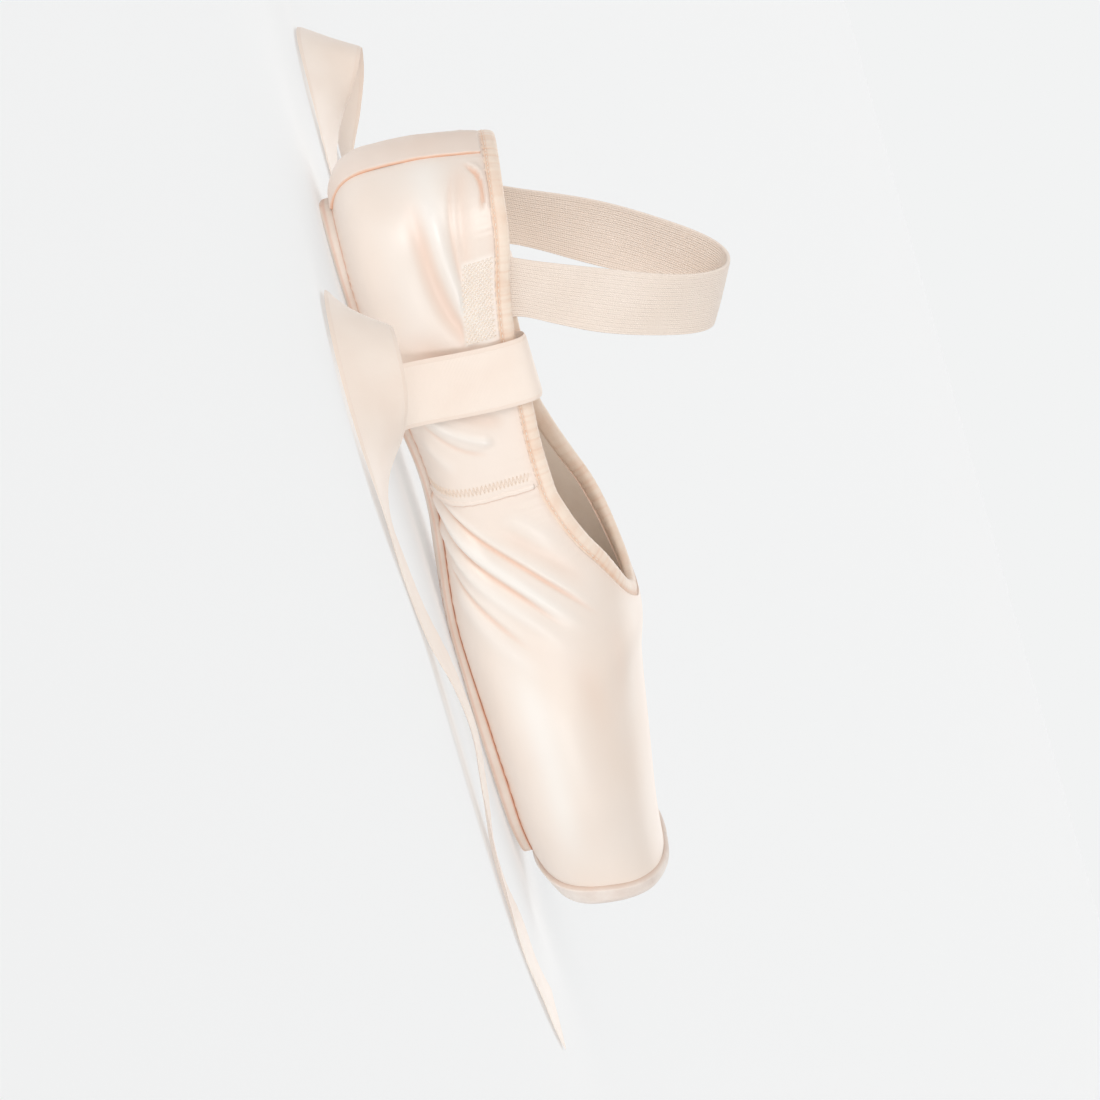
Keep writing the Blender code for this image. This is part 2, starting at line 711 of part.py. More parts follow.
# The ribbons' routes: x, y, z in metres and the bank in degrees, from the seam inside the quarter, over the
# collar and down to the floor, where each lies in one loose turn.
OUTER_RIBBON = [
    (-0.0580, -0.0240, 0.0300, 0),
    (-0.0580, -0.0238, 0.0370, 0),
    (-0.0580, -0.0238, 0.0430, 0),
    (-0.0580, -0.0245, 0.0455, 0),
    (-0.0580, -0.0268, 0.0468, 0),
    (-0.0581, -0.0292, 0.0455, 0),
    (-0.0583, -0.0303, 0.0415, 0),
    (-0.0588, -0.0310, 0.0340, 0),
    (-0.0596, -0.0314, 0.0260, 0),
    (-0.0606, -0.0318, 0.0180, 0),
    (-0.0620, -0.0334, 0.0105, 0),
    (-0.0640, -0.0378, 0.0040, 0),
    (-0.0670, -0.0450, 0.0012, 0),
    (-0.0710, -0.0540, 0.0006, 0),
    (-0.0780, -0.0640, 0.0006, 0),
    (-0.0900, -0.0730, 0.0006, 0),
    (-0.1050, -0.0795, 0.0024, 10),
    (-0.1185, -0.0880, 0.0060, 33),
    (-0.1250, -0.1000, 0.0085, 52),
    (-0.1210, -0.1130, 0.0090, 56),
    (-0.1090, -0.1220, 0.0082, 48),
    (-0.0935, -0.1245, 0.0056, 30),
    (-0.0770, -0.1210, 0.0022, 9),
    (-0.0600, -0.1140, 0.0006, 0),
    (-0.0430, -0.1070, 0.0006, 0),
    (-0.0260, -0.1025, 0.0014, 0),
    (-0.0090, -0.1020, 0.0040, 0),
    (0.0080, -0.1050, 0.0052, 0),
    (0.0250, -0.1100, 0.0030, 0),
    (0.0420, -0.1130, 0.0008, 0),
    (0.0590, -0.1120, 0.0006, 0),
    (0.0750, -0.1060, 0.0006, 0),
    (0.0900, -0.0980, 0.0006, 0),
    (0.1040, -0.0890, 0.0006, 0),
    (0.1170, -0.0790, 0.0006, 0),
    (0.1290, -0.0680, 0.0006, 0),
]
INNER_RIBBON = [
    (-0.0580, 0.0240, 0.0300, 0),
    (-0.0580, 0.0238, 0.0370, 0),
    (-0.0580, 0.0238, 0.0430, 0),
    (-0.0580, 0.0245, 0.0455, 0),
    (-0.0580, 0.0268, 0.0468, 0),
    (-0.0579, 0.0292, 0.0455, 0),
    (-0.0577, 0.0303, 0.0415, 0),
    (-0.0574, 0.0310, 0.0340, 0),
    (-0.0570, 0.0314, 0.0260, 0),
    (-0.0566, 0.0319, 0.0180, 0),
    (-0.0562, 0.0336, 0.0105, 0),
    (-0.0560, 0.0382, 0.0040, 0),
    (-0.0564, 0.0460, 0.0012, 0),
    (-0.0580, 0.0560, 0.0006, 0),
    (-0.0630, 0.0680, 0.0006, 0),
    (-0.0730, 0.0790, 0.0006, 0),
    (-0.0870, 0.0870, 0.0020, -9),
    (-0.1000, 0.0960, 0.0056, -30),
    (-0.1065, 0.1080, 0.0084, -51),
    (-0.1030, 0.1210, 0.0090, -56),
    (-0.0910, 0.1300, 0.0080, -47),
    (-0.0755, 0.1325, 0.0052, -28),
    (-0.0590, 0.1290, 0.0020, -8),
    (-0.0420, 0.1220, 0.0006, 0),
    (-0.0250, 0.1145, 0.0006, 0),
    (-0.0080, 0.1080, 0.0022, 0),
    (0.0090, 0.1040, 0.0050, 0),
    (0.0260, 0.1030, 0.0044, 0),
    (0.0430, 0.1060, 0.0016, 0),
    (0.0600, 0.1110, 0.0006, 0),
    (0.0770, 0.1140, 0.0006, 0),
    (0.0940, 0.1120, 0.0006, 0),
    (0.1090, 0.1050, 0.0006, 0),
    (0.1220, 0.0950, 0.0006, 0),
    (0.1330, 0.0830, 0.0006, 0),
]


def curve_through(points, step):
    # A smooth curve through the route's points, read about every step
    found = []
    rows = [Vector(point) for point in points]
    for k in range(len(rows) - 1):
        before = rows[max(k - 1, 0)]
        start = rows[k]
        end = rows[k + 1]
        after = rows[min(k + 2, len(rows) - 1)]
        leave = (end - before) / 2
        arrive = (after - start) / 2
        count = max(1, round((end - start).length / step))
        for part in range(count):
            t = part / count
            rise = t * t * (3.0 - 2.0 * t)
            point = start + (end - start) * rise
            found.append(point + leave * (t * (1.0 - t) ** 2) - arrive * (t * t * (1.0 - t)))
    found.append(rows[-1])
    return found


def build_ribbon(name, route):
    places = [(x * 1000.0, y * 1000.0, z * 1000.0, bank) for x, y, z, bank in route]
    points = curve_through(places, RIBBON_STEP * 1000.0)
    middles = [Vector(point[:3]) / 1000.0 for point in points]
    side = Vector((0.0, 0.0, 1.0)).cross(Vector((0.0, route[0][1], 0.0))).normalized()
    sides = []
    for k, point in enumerate(points):
        run = (middles[min(k + 1, len(middles) - 1)] - middles[max(k - 1, 0)]).normalized()
        side = (side - run * side.dot(run)).normalized()
        level = Vector((0.0, 0.0, 1.0)).cross(run)
        levelled = ease((level.length - RIBBON_LEVEL_FROM) / RIBBON_LEVEL_SPAN)
        side = side.lerp(level, levelled).normalized()
        bank = math.radians(point[3])
        sides.append(side * math.cos(bank) + run.cross(side) * math.sin(bank))
    return build_band(name, middles, sides, RIBBON_WIDTH, RIBBON_THICK, (-0.5, 0.5), RIBBON_SATIN)


def build_shoe():
    build_outsole()
    build_upper()
    build_insole()
    build_heel_strip()
    build_side_seam("side_seam_outer", -1)
    build_side_seam("side_seam_inner", 1)
    build_toe_suede()
    build_collar_binding()
    build_elastic_strap()
    build_ribbon("ribbon_outer", OUTER_RIBBON)
    build_ribbon("ribbon_inner", INNER_RIBBON)


clear_scene()
shoe = start_collection("pointe_shoe")
build_shoe()
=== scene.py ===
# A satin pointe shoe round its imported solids: panels, folds, suede, sole, binding, elastic and ribbons.
# Metres, +X to the toe, +Y to the inner side, +Z up; the tables of creases and ribbons are in mm.

import math
from functools import cache
from math import cos, sin

import bpy
import numpy as np
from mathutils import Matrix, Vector
from mathutils.bvhtree import BVHTree


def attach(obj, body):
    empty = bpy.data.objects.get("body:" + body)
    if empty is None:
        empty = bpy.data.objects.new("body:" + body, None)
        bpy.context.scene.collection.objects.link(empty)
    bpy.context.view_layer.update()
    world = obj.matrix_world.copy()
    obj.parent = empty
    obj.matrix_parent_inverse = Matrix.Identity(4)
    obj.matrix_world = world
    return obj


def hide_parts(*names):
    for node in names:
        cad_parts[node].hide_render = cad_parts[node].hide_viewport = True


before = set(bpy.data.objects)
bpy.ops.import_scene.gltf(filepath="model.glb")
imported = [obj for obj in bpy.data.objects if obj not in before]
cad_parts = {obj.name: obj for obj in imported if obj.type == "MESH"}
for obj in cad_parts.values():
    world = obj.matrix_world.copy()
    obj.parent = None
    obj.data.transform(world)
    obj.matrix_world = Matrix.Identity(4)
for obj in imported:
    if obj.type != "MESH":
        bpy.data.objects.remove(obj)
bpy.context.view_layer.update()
scene = bpy.context.scene
print("frame loaded")

up = math.pi / 2
down = -up
mmPerMetre = 1000.0
weldSteps = 2e6  # points of one half-micron cell become one
flip = Vector((1.0, -1.0, 1.0))  # to the other side of the shoe
upright = Vector((0.0, 0.0, 1.0))

# the shoe's form and its sole, the same as in the solids
last = {
    "length": 0.245, "boxWidth": 0.080, "heelWidth": 0.059, "instepHeight": 0.0565, "heelHeight": 0.055,
    "heelLean": 0.0035, "vampLength": 0.092, "platformWidth": 0.054, "platformHeight": 0.0325,
    "platformLift": 0.0085, "platformRound": 0.003, "platformLean": math.radians(5.0),
    "quarterWall": 0.0016, "boxWall": 0.0034,
}
sole = {
    "thick": 0.0022, "gap": 0.0004, "touch": 0.00005, "edgeRise": 0.0008, "heelInset": 0.012,
    "tipInset": 0.0185, "heelWidth": 0.0335, "treadWidth": 0.0540, "tipWidth": 0.0345, "corner": 0.005,
    "flatShare": 0.6, "archRise": 0.005, "toeSpring": 0.0015, "archStart": 0.19, "archEnd": 0.62,
    "springStart": 0.847,
}
slot = {"share": 0.55, "start": 0.16, "end": 0.84, "taper": 0.05}  # the opening under the insole
gap, suedeProud, stripProud = 0.0003, 0.0016, 0.0011
bindingWidth, bindingThick, seamSlant = 0.0052, 0.0030, 0.004

halfLength = last["length"] / 2
heelRadius = last["heelWidth"] / 2
heelCentre = -halfLength + stripProud + heelRadius
heelBack = heelCentre - heelRadius * up  # where a run round the heel starts
leanReach = (last["platformHeight"] / 2 - last["platformRound"]) * math.tan(last["platformLean"])
toeEnd = halfLength - suedeProud - leanReach
boxEnd = toeEnd - last["platformRound"]
soleHeelEnd = -halfLength + sole["heelInset"]
soleHeelCentre = soleHeelEnd + sole["heelWidth"] / 2
soleTip = halfLength - sole["tipInset"]
springFrom = (sole["springStart"] - 0.5) * last["length"]
throat = halfLength - last["vampLength"] + bindingWidth + gap
platformTop = last["platformLift"] + last["platformHeight"]
platformMiddle = last["platformLift"] + last["platformHeight"] / 2
seat = sole["thick"] + sole["gap"]
seamPlace = -0.098 * last["length"]

# along, heel, box, tip, quarter, instep, toe, widest, lower, upper
lastTable = [
    (0.12, 1, 0, 0, 1.45, 0, 0, 0.226, 3.2, 2.3), (0.30, 0.97, 0, 0, 1, 0.37, 0, 0.236, 3, 2.3),
    (0.42, 0.85, 0.15, 0, 0.6, 0.62, 0, 0.220, 3, 2.3), (0.50, 0.55, 0.44, 0, 0.3, 0.8, 0, 0.265, 3, 2.3),
    (0.58, 0.25, 0.74, 0, 0.06, 0.96, 0, 0.32, 3.2, 2.3), (0.65, 0.06, 0.93, 0, 0, 0.98, 0.01, 0.345, 3.4, 2.3),
    (0.71, 0, 1, 0, 0, 0.78, 0.2, 0.370, 3.5, 2.3), (0.83, 0, 0.8, 0.2, 0, 0.42, 0.57, 0.430, 3.4, 2.3),
    (0.93, 0, 0.33, 0.67, 0, 0.13, 0.87, 0.487, 3.1, 2.4), (1.00, 0, 0, 1, 0, 0, 1, 0.500, 2.8, 2.6),
]
# along, rise
collarTable = [
    (0.00, 0.490), (0.12, 0.450), (0.25, 0.375), (0.38, 0.325), (0.52, 0.315), (0.65, 0.370), (0.72, 0.460),
    (0.78, 0.575), (0.84, 0.715), (0.905, 0.845), (0.937, 0.905), (0.967, 0.960), (0.985, 0.985), (1.00, 1.000),
]
# along, heel, tread, tip
outlineTable = [
    (0.00, 1, 0, 0), (0.22, 0.96, 0, 0), (0.42, 0.93, 0, 0), (0.52, 0.94, 0.02, 0), (0.64, 0.40, 0.52, 0),
    (0.75, 0.06, 0.96, 0), (0.82, 0, 0.98, 0), (0.91, 0, 0.55, 0.52), (1.00, 0, 0, 1),
]


def ease(share):
    share = min(max(share, 0.0), 1.0)
    return share * share * (3.0 - 2.0 * share)


def easeAll(share):
    share = np.clip(share, 0.0, 1.0)
    return share * share * (3.0 - 2.0 * share)


def edgeRound(past):
    # 1 on the flat, then down a quarter circle as past goes from 0 to 1
    return math.sqrt(max(1.0 - max(past, 0.0) ** 2, 0.0))


def readTable(table, column, along):
    # smooth through the rows, with no swing past their values
    if along <= table[0][0]:
        return table[0][column]
    if along >= table[-1][0]:
        return table[-1][column]
    steps = [(after[column] - row[column]) / (after[0] - row[0]) for row, after in zip(table, table[1:])]
    k = max(index for index in range(len(steps)) if table[index][0] <= along)

    def slopeAt(index):
        if index in (0, len(steps)):
            return steps[min(index, len(steps) - 1)]
        before, after = steps[index - 1], steps[index]
        return 0.0 if before * after <= 0 else 2.0 * before * after / (before + after)

    row, after = table[k], table[k + 1]
    span = after[0] - row[0]
    t = (along - row[0]) / span
    curve = row[column] + (after[column] - row[column]) * t * t * (3.0 - 2.0 * t)
    return curve + span * t * (1.0 - t) * (slopeAt(k) * (1.0 - t) - slopeAt(k + 1) * t)


def mixed(table, first, along, sizes):
    # the sizes in the shares that the table gives
    return sum(readTable(table, first + k, along) * size for k, size in enumerate(sizes))


def groundAt(x):
    # how high the arch and the toe's spring lift the sole
    arch = (x / last["length"] + 0.5 - sole["archStart"]) / (sole["archEnd"] - sole["archStart"])
    if 0.0 < arch < 1.0:
        return sole["archRise"] * sin(math.pi * arch) ** 2
    if x > springFrom:
        return sole["toeSpring"] * ((min(x, soleTip) - springFrom) / (soleTip - springFrom)) ** 2
    return 0.0


@cache
def cutAt(x):
    # half width, bottom, widest height, crown, squareness below and above
    along = x / last["length"] + 0.5
    half = mixed(lastTable, 1, along, (last["heelWidth"], last["boxWidth"], last["platformWidth"])) / 2
    crown = mixed(lastTable, 4, along, (last["heelHeight"], last["instepHeight"], platformTop))
    widest, lower, upper = (readTable(lastTable, column, along) for column in (7, 8, 9))
    bottom = seat + groundAt(x)
    if x > soleTip:
        # past the sole it curves up to the platform
        slope = 2.0 * sole["toeSpring"] / (soleTip - springFrom)
        reach = toeEnd - soleTip
        ahead = min(x, toeEnd) - soleTip
        bend = (last["platformLift"] - bottom - slope * reach) / reach**2
        bottom += slope * ahead + bend * ahead**2
    return half, bottom, bottom + (crown - bottom) * widest, crown, lower, upper


def wallAt(x):
    blend = ease((x - seamPlace) / (throat - seamPlace))
    return last["quarterWall"] + (last["boxWall"] - last["quarterWall"]) * blend


def squared(angle, power):
    # a point of the unit circle drawn out towards a square
    side, rise = cos(angle), sin(angle)
    norm = (abs(side) ** power + abs(rise) ** power) ** (-1.0 / power)
    return side * norm, rise * norm


def place(rib, angle, inset=0.0):
    # rib is (x, turn, shrink, scale); angle runs from straight down to straight up
    ribX, turn, shrink, scale = rib
    half, bottom, widest, crown, lower, upper = cutAt(ribX)
    side, rise = squared(angle, lower if angle < 0 else upper)
    drawn = shrink + inset
    tall = widest - bottom if angle < 0 else crown - widest
    height = widest + (tall - drawn) * rise * scale
    back = cos(turn)
    above = max(height - widest, 0.0) / (last["heelHeight"] - widest)
    reach = (half - drawn) * side * scale - last["heelLean"] * back**2 * above**1.5
    y = -reach * sin(turn)
    x = ribX - reach * back - inset * max(ribX - throat, 0.0) / (toeEnd - throat)
    lean = math.tan(last["platformLean"]) * (height - platformMiddle)
    x += lean * ease((ribX - soleTip) / (toeEnd - soleTip))
    return x, 0.0 if abs(y) < 1e-7 else y, height


def straightRib(x):
    return (x, up, 0.0, 1.0)


def fanRib(turn):
    return (heelCentre, turn, 0.0, 1.0)


def ribAlong(along):
    # one run from the back of the heel, round it and on to the toe
    if along < heelCentre:
        return fanRib(max(up - (heelCentre - along) / heelRadius, 0.0))
    return straightRib(along)


def angleAtReach(x, reach):
    half, _, _, _, lower, _ = cutAt(x)
    side = min(reach / half, 1.0)
    return -math.atan2((1.0 - side**lower) ** (1.0 / lower), side)


def collarAngle(rib):
    backEnd = heelCentre - heelRadius
    along = (rib[0] - heelRadius * cos(rib[1]) - backEnd) / (throat - backEnd)
    if along >= 1.0 - 1e-9:
        return up
    rise = readTable(collarTable, 1, along)
    upper = cutAt(rib[0])[5]
    return math.atan2(rise, max(1.0 - rise**upper, 0.0) ** (1.0 / upper))


def soleHalf(x, margin=0.0):
    radius = sole["heelWidth"] / 2 + margin
    if x < soleHeelCentre:
        return math.sqrt(max(radius**2 - (soleHeelCentre - x) ** 2, 0.0))
    along = (x - soleHeelCentre) / (soleTip - soleHeelCentre)
    half = mixed(outlineTable, 1, along, (sole["heelWidth"], sole["treadWidth"], sole["tipWidth"])) / 2 + margin
    past = x - (soleTip + margin - sole["corner"])
    if past > 0:
        half -= sole["corner"] - math.sqrt(max(sole["corner"] ** 2 - past**2, 0.0))
    return half


def bottomAngle(rib):
    # where a rib ends below: at the bottom's middle, or at the edge of the opening under the insole
    along = rib[0] / last["length"] + 0.5
    inside = min(along - slot["start"], slot["end"] - along)
    if rib[1] < up or inside <= 1e-9:
        return down
    end = min(inside / slot["taper"], 1.0)
    return angleAtReach(rib[0], slot["share"] * soleHalf(rib[0]) * math.sqrt(end * (2.0 - end)))


def heightUnder(x, y, inset=0.0):
    if x > throat:
        drawn = inset / (toeEnd - throat)
        x = (x - throat * drawn) / (1.0 - drawn)
    half, bottom, widest, _, lower, _ = cutAt(max(x, heelCentre))
    side = min(math.hypot(min(x - heelCentre, 0.0), y) / (half - inset), 1.0)
    return widest - (widest - bottom - inset) * (1.0 - side**lower) ** (1.0 / lower)


def angleAtHeight(rib, height):
    low, high = down, up
    for _ in range(26):
        middle = (low + high) / 2
        if place(rib, middle)[2] < height:
            low = middle
        else:
            high = middle
    return (low + high) / 2


def outwardAt(rib, angle):
    step = 0.01
    turned = rib[1] + step if rib[1] < up else up
    moved = rib[0] if rib[1] < up else rib[0] + step * heelRadius
    point = Vector(place(rib, angle))
    alongWay = Vector(place((moved, turned, rib[2], rib[3]), angle)) - point
    upWay = point - Vector(place(rib, angle - step))
    return alongWay.cross(upWay).normalized()


def seamAt(angle):
    # the side seam leans to the toe as it climbs
    return seamPlace + seamSlant * (angle - down) / (up - down)


def evenPlaces(start, end, step, closed=True):
    count = round((end - start) / step)
    return [start + (end - start) * k / count for k in range(count + closed)]


def throatPlaces(near, count):
    # closer and closer to the throat, where the collar turns across
    return [throat - near * (1.0 - k / count) ** 2 for k in range(count + 1)]


def runAlong(points):
    # the length from the first point to each
    return np.concatenate(([0.0], np.cumsum(np.linalg.norm(np.diff(points, axis=0), axis=1))))


def evenAngles(rib, low, high, count):
    # angles that share the ring's length evenly
    rough = np.linspace(low, high, 41)
    run = runAlong([place(rib, angle) for angle in rough])
    return np.interp(np.linspace(0.0, run[-1], count + 1), run, rough)


def evenCurve(points, step):
    # a smooth curve through given points, read at even steps
    rows = np.array(points, dtype=float)
    found = []
    for k in range(len(rows) - 1):
        before, start, end, after = rows[[max(k - 1, 0), k, k + 1, min(k + 2, len(rows) - 1)]]
        leave, arrive = (end - before) / 2, (after - start) / 2
        parts = max(1, round(float(np.linalg.norm((end - start)[:3])) / step))
        for t in (part / parts for part in range(parts)):
            middle = start + (end - start) * (t * t * (3.0 - 2.0 * t))
            found.append(middle + leave * (t * (1 - t) ** 2) - arrive * (t * t * (1 - t)))
    return np.array([*found, rows[-1]])


def addMesh(name, points, faces, material):
    mesh = bpy.data.meshes.new(name)
    mesh.from_pydata(points, [], faces)
    mesh.validate()
    mesh.shade_smooth()
    mesh.materials.append(material)
    obj = bpy.data.objects.new(name, mesh)
    scene.collection.objects.link(obj)
    return obj


def addPiece(name, slotName, material, points, faces, *nodes):
    obj = addMesh(name, points, faces, material)
    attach(obj, "root")
    if nodes:
        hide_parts(*nodes)
    return obj


def giveValues(mesh, key, values):
    # a number or a vector for each point
    kind, field = ("FLOAT", "value") if values.size == len(mesh.vertices) else ("FLOAT_VECTOR", "vector")
    mesh.attributes.new(key, kind, "POINT").data.foreach_set(field, values.reshape(-1))


def takeValues(mesh, key):
    found = np.empty(len(mesh.vertices))
    mesh.attributes[key].data.foreach_get("value", found)
    mesh.attributes.remove(mesh.attributes[key])
    return found


def pieceFromLines(name, node, slotName, material, parts, keys=(), sides=(1, -1)):
    # parts are (lines, flipped), lines hold cells of a point and its values, and side -1 is the mirror image;
    # equal points are welded, and each key's value goes to an attribute
    points, faces, values, count = [], [], [[] for _ in keys], 0
    for (lines, flipped), side in ((part, side) for part in parts for side in sides):
        grid = np.array([[tuple(cell[0]) for cell in line] for line in lines]) * (1.0, side, 1.0)
        index = count + np.arange(grid.size // 3).reshape(grid.shape[:2])
        corners = [index[:-1, :-1], index[1:, :-1], index[1:, 1:], index[:-1, 1:]]
        corners = corners if flipped == (side < 0) else corners[::-1]
        faces.append(np.stack(corners, axis=-1).reshape(-1, 4))
        points.append(grid.reshape(-1, 3))
        count += len(points[-1])
        for k, found in enumerate(values):
            found.append(np.array([cell[k + 1] for line in lines for cell in line]))
    points = np.concatenate(points)
    cells = np.round(points * weldSteps).astype(np.int64)
    _, firsts, inverse = np.unique(cells, axis=0, return_index=True, return_inverse=True)
    faces = [tuple(dict.fromkeys(face)) for face in inverse.reshape(-1)[np.concatenate(faces)].tolist()]
    faces = [face for face in faces if len(face) > 2]
    obj = addPiece(name, slotName, material, points[firsts].tolist(), faces, node)
    for key, found in zip(keys, values):
        giveValues(obj.data, key, np.concatenate(found)[firsts])
    return obj


def readPoints(mesh):
    points, normals = np.empty(len(mesh.vertices) * 3), np.empty(len(mesh.vertices) * 3)
    mesh.vertices.foreach_get("co", points)
    mesh.vertices.foreach_get("normal", normals)
    return points.reshape(-1, 3), normals.reshape(-1, 3)


def raisePoints(mesh, points, normals, lift):
    mesh.vertices.foreach_set("co", (points + normals * lift[:, None]).reshape(-1))
    mesh.update()


def paint(red, green, blue):
    # a screen colour, 0 to 255, as a linear one
    shares = [value / 255.0 for value in (red, green, blue)]
    return (*(share / 12.92 if share <= 0.04045 else ((share + 0.055) / 1.055) ** 2.4 for share in shares), 1.0)


glossSockets = {
    "specular": "Specular IOR Level", "sheen": "Sheen Weight", "sheenRough": "Sheen Roughness",
    "sheenTint": "Sheen Tint", "coat": "Coat Weight", "coatRough": "Coat Roughness",
    "glow": "Emission Strength", "glowColour": "Emission Color",
}


class Finish:
    # a material and short ways to add nodes to it
    def __init__(self, name, colour, roughness, **gloss):
        self.material = bpy.data.materials.new(name)
        self.material.use_nodes = True
        self.material.diffuse_color = colour
        self.tree = self.material.node_tree
        self.shader = self.tree.nodes["Principled BSDF"]
        self.shader.inputs["Base Color"].default_value = colour
        self.shader.inputs["Roughness"].default_value = roughness
        for key, value in gloss.items():
            self.shader.inputs[glossSockets[key]].default_value = value
        self.where = self.put("ShaderNodeTexCoord").outputs["Object"]

    def put(self, kind, inputs=(), **settings):
        # inputs are numbers, colours or other nodes' sockets, by the socket's number or name
        node = self.tree.nodes.new(kind)
        for key, value in settings.items():
            setattr(node, key, value)
        for key, value in dict(inputs).items():
            if isinstance(value, bpy.types.NodeSocket):
                self.tree.links.new(value, node.inputs[key])
            elif value is not None:
                node.inputs[key].default_value = value
        return node

    def attribute(self, name, output="Fac"):
        return self.put("ShaderNodeAttribute", attribute_name=name).outputs[output]

    def noise(self, scale, detail=3.0, rough=0.5, stretch=(1.0, 1.0, 1.0)):
        stretched = self.put("ShaderNodeMapping", {"Vector": self.where, "Scale": stretch}).outputs[0]
        inputs = {"Vector": stretched, "Scale": scale, "Detail": detail, "Roughness": rough}
        return self.put("ShaderNodeTexNoise", inputs).outputs["Fac"]

    def maths(self, operation, *values):
        return self.put("ShaderNodeMath", enumerate(values), operation=operation).outputs[0]

    def times(self, value, *others):
        for other in others:
            value = self.maths("MULTIPLY", value, other)
        return value

    def spread(self, value, low, high, newLow=0.0, newHigh=1.0):
        return self.put("ShaderNodeMapRange", enumerate((value, low, high, newLow, newHigh))).outputs[0]

    def blend(self, share, first, second):
        return self.put("ShaderNodeMix", {0: share, 6: first, 7: second}, data_type="RGBA").outputs[2]

    def cloud(self, first, second, scale, detail, low, high, most=1.0, rough=0.5, stretch=(1.0, 1.0, 1.0)):
        # the second colour in soft patches on the first
        patches = self.noise(scale, detail, rough, stretch)
        return self.blend(self.spread(patches, low, high, 0.0, most), first, second)

    def split(self, vector):
        return self.put("ShaderNodeSeparateXYZ", {0: vector}).outputs[:2]

    def bump(self, height, distance, strength, after=None):
        inputs = {"Strength": strength, "Distance": distance, "Height": height, "Normal": after}
        return self.put("ShaderNodeBump", inputs).outputs["Normal"]

    def done(self, colour, normal, roughness=None):
        for key, socket in (("Base Color", colour), ("Normal", normal), ("Roughness", roughness)):
            if socket is not None:
                self.tree.links.new(socket, self.shader.inputs[key])
        return self.material


# the lightest colour is for painted highlights, and fold and deep are painted shade in creases and folds
satin = {
    "face": paint(245, 229, 216), "pale": paint(248, 236, 226), "paintedHighlightColour": paint(253, 248, 242),
    "fold": paint(236, 182, 148), "deep": paint(214, 142, 103), "seamFace": paint(247, 230, 217),
    "roughness": 0.38, "weave": 0.16, "cloudScale": 46.0, "streakScale": 2600.0, "slubScale": 700.0,
}


def makeSatin(name, face):
    finish = Finish(
        name, face, satin["roughness"], specular=0.75, sheen=0.22, sheenRough=0.35,
        sheenTint=paint(255, 240, 228), coat=0.16, coatRough=0.36,
    )
    base = finish.cloud(face, satin["pale"], satin["cloudScale"], 2.0, 0.3, 0.75, stretch=(0.4, 1.0, 1.0))
    # painted highlight on ridges and gleams, and the sewn patch painted pale
    base = finish.blend(finish.attribute("paintedLight"), base, satin["paintedHighlightColour"])
    # painted shade in creases and folds, darkest where it is strongest
    shade = finish.attribute("foldShade")
    folded = finish.blend(shade, base, satin["fold"])
    colour = finish.blend(finish.spread(shade, 0.75, 1.6), folded, satin["deep"])
    streaks = finish.noise(satin["streakScale"], 2.0, 0.6, (0.16, 1.0, 1.0))
    rough = finish.spread(streaks, 0.2, 0.8, satin["roughness"] - 0.06, satin["roughness"] + 0.08)
    slub = finish.noise(satin["slubScale"], 3.0, 0.6, (0.12, 1.0, 1.0))
    weave = finish.bump(streaks, 0.00006, satin["weave"])
    return finish.done(colour, finish.bump(slub, 0.00012, 0.10, weave), rough)


satinMaterial = makeSatin("peachSatin", satin["face"])
foldMaterial = makeSatin("peachSatinFold", satin["seamFace"])

cotton = {"face": paint(246, 234, 221), "shade": paint(234, 215, 197), "roughness": 0.9, "threadScale": 2200.0}


def makeCotton():
    look = {"specular": 0.2, "sheen": 0.3, "sheenRough": 0.6}
    finish = Finish("cottonLining", cotton["face"], cotton["roughness"], **look)
    warp, weft = (finish.noise(cotton["threadScale"], 2.0, 0.5, way) for way in ((1, 0.25, 0.25), (0.25, 1, 1)))
    weave = finish.bump(finish.maths("ADD", warp, weft), 0.0002, 0.35)
    return finish.done(finish.cloud(cotton["face"], cotton["shade"], 45.0, 3.0, 0.4, 0.75), weave)


cottonMaterial = makeCotton()
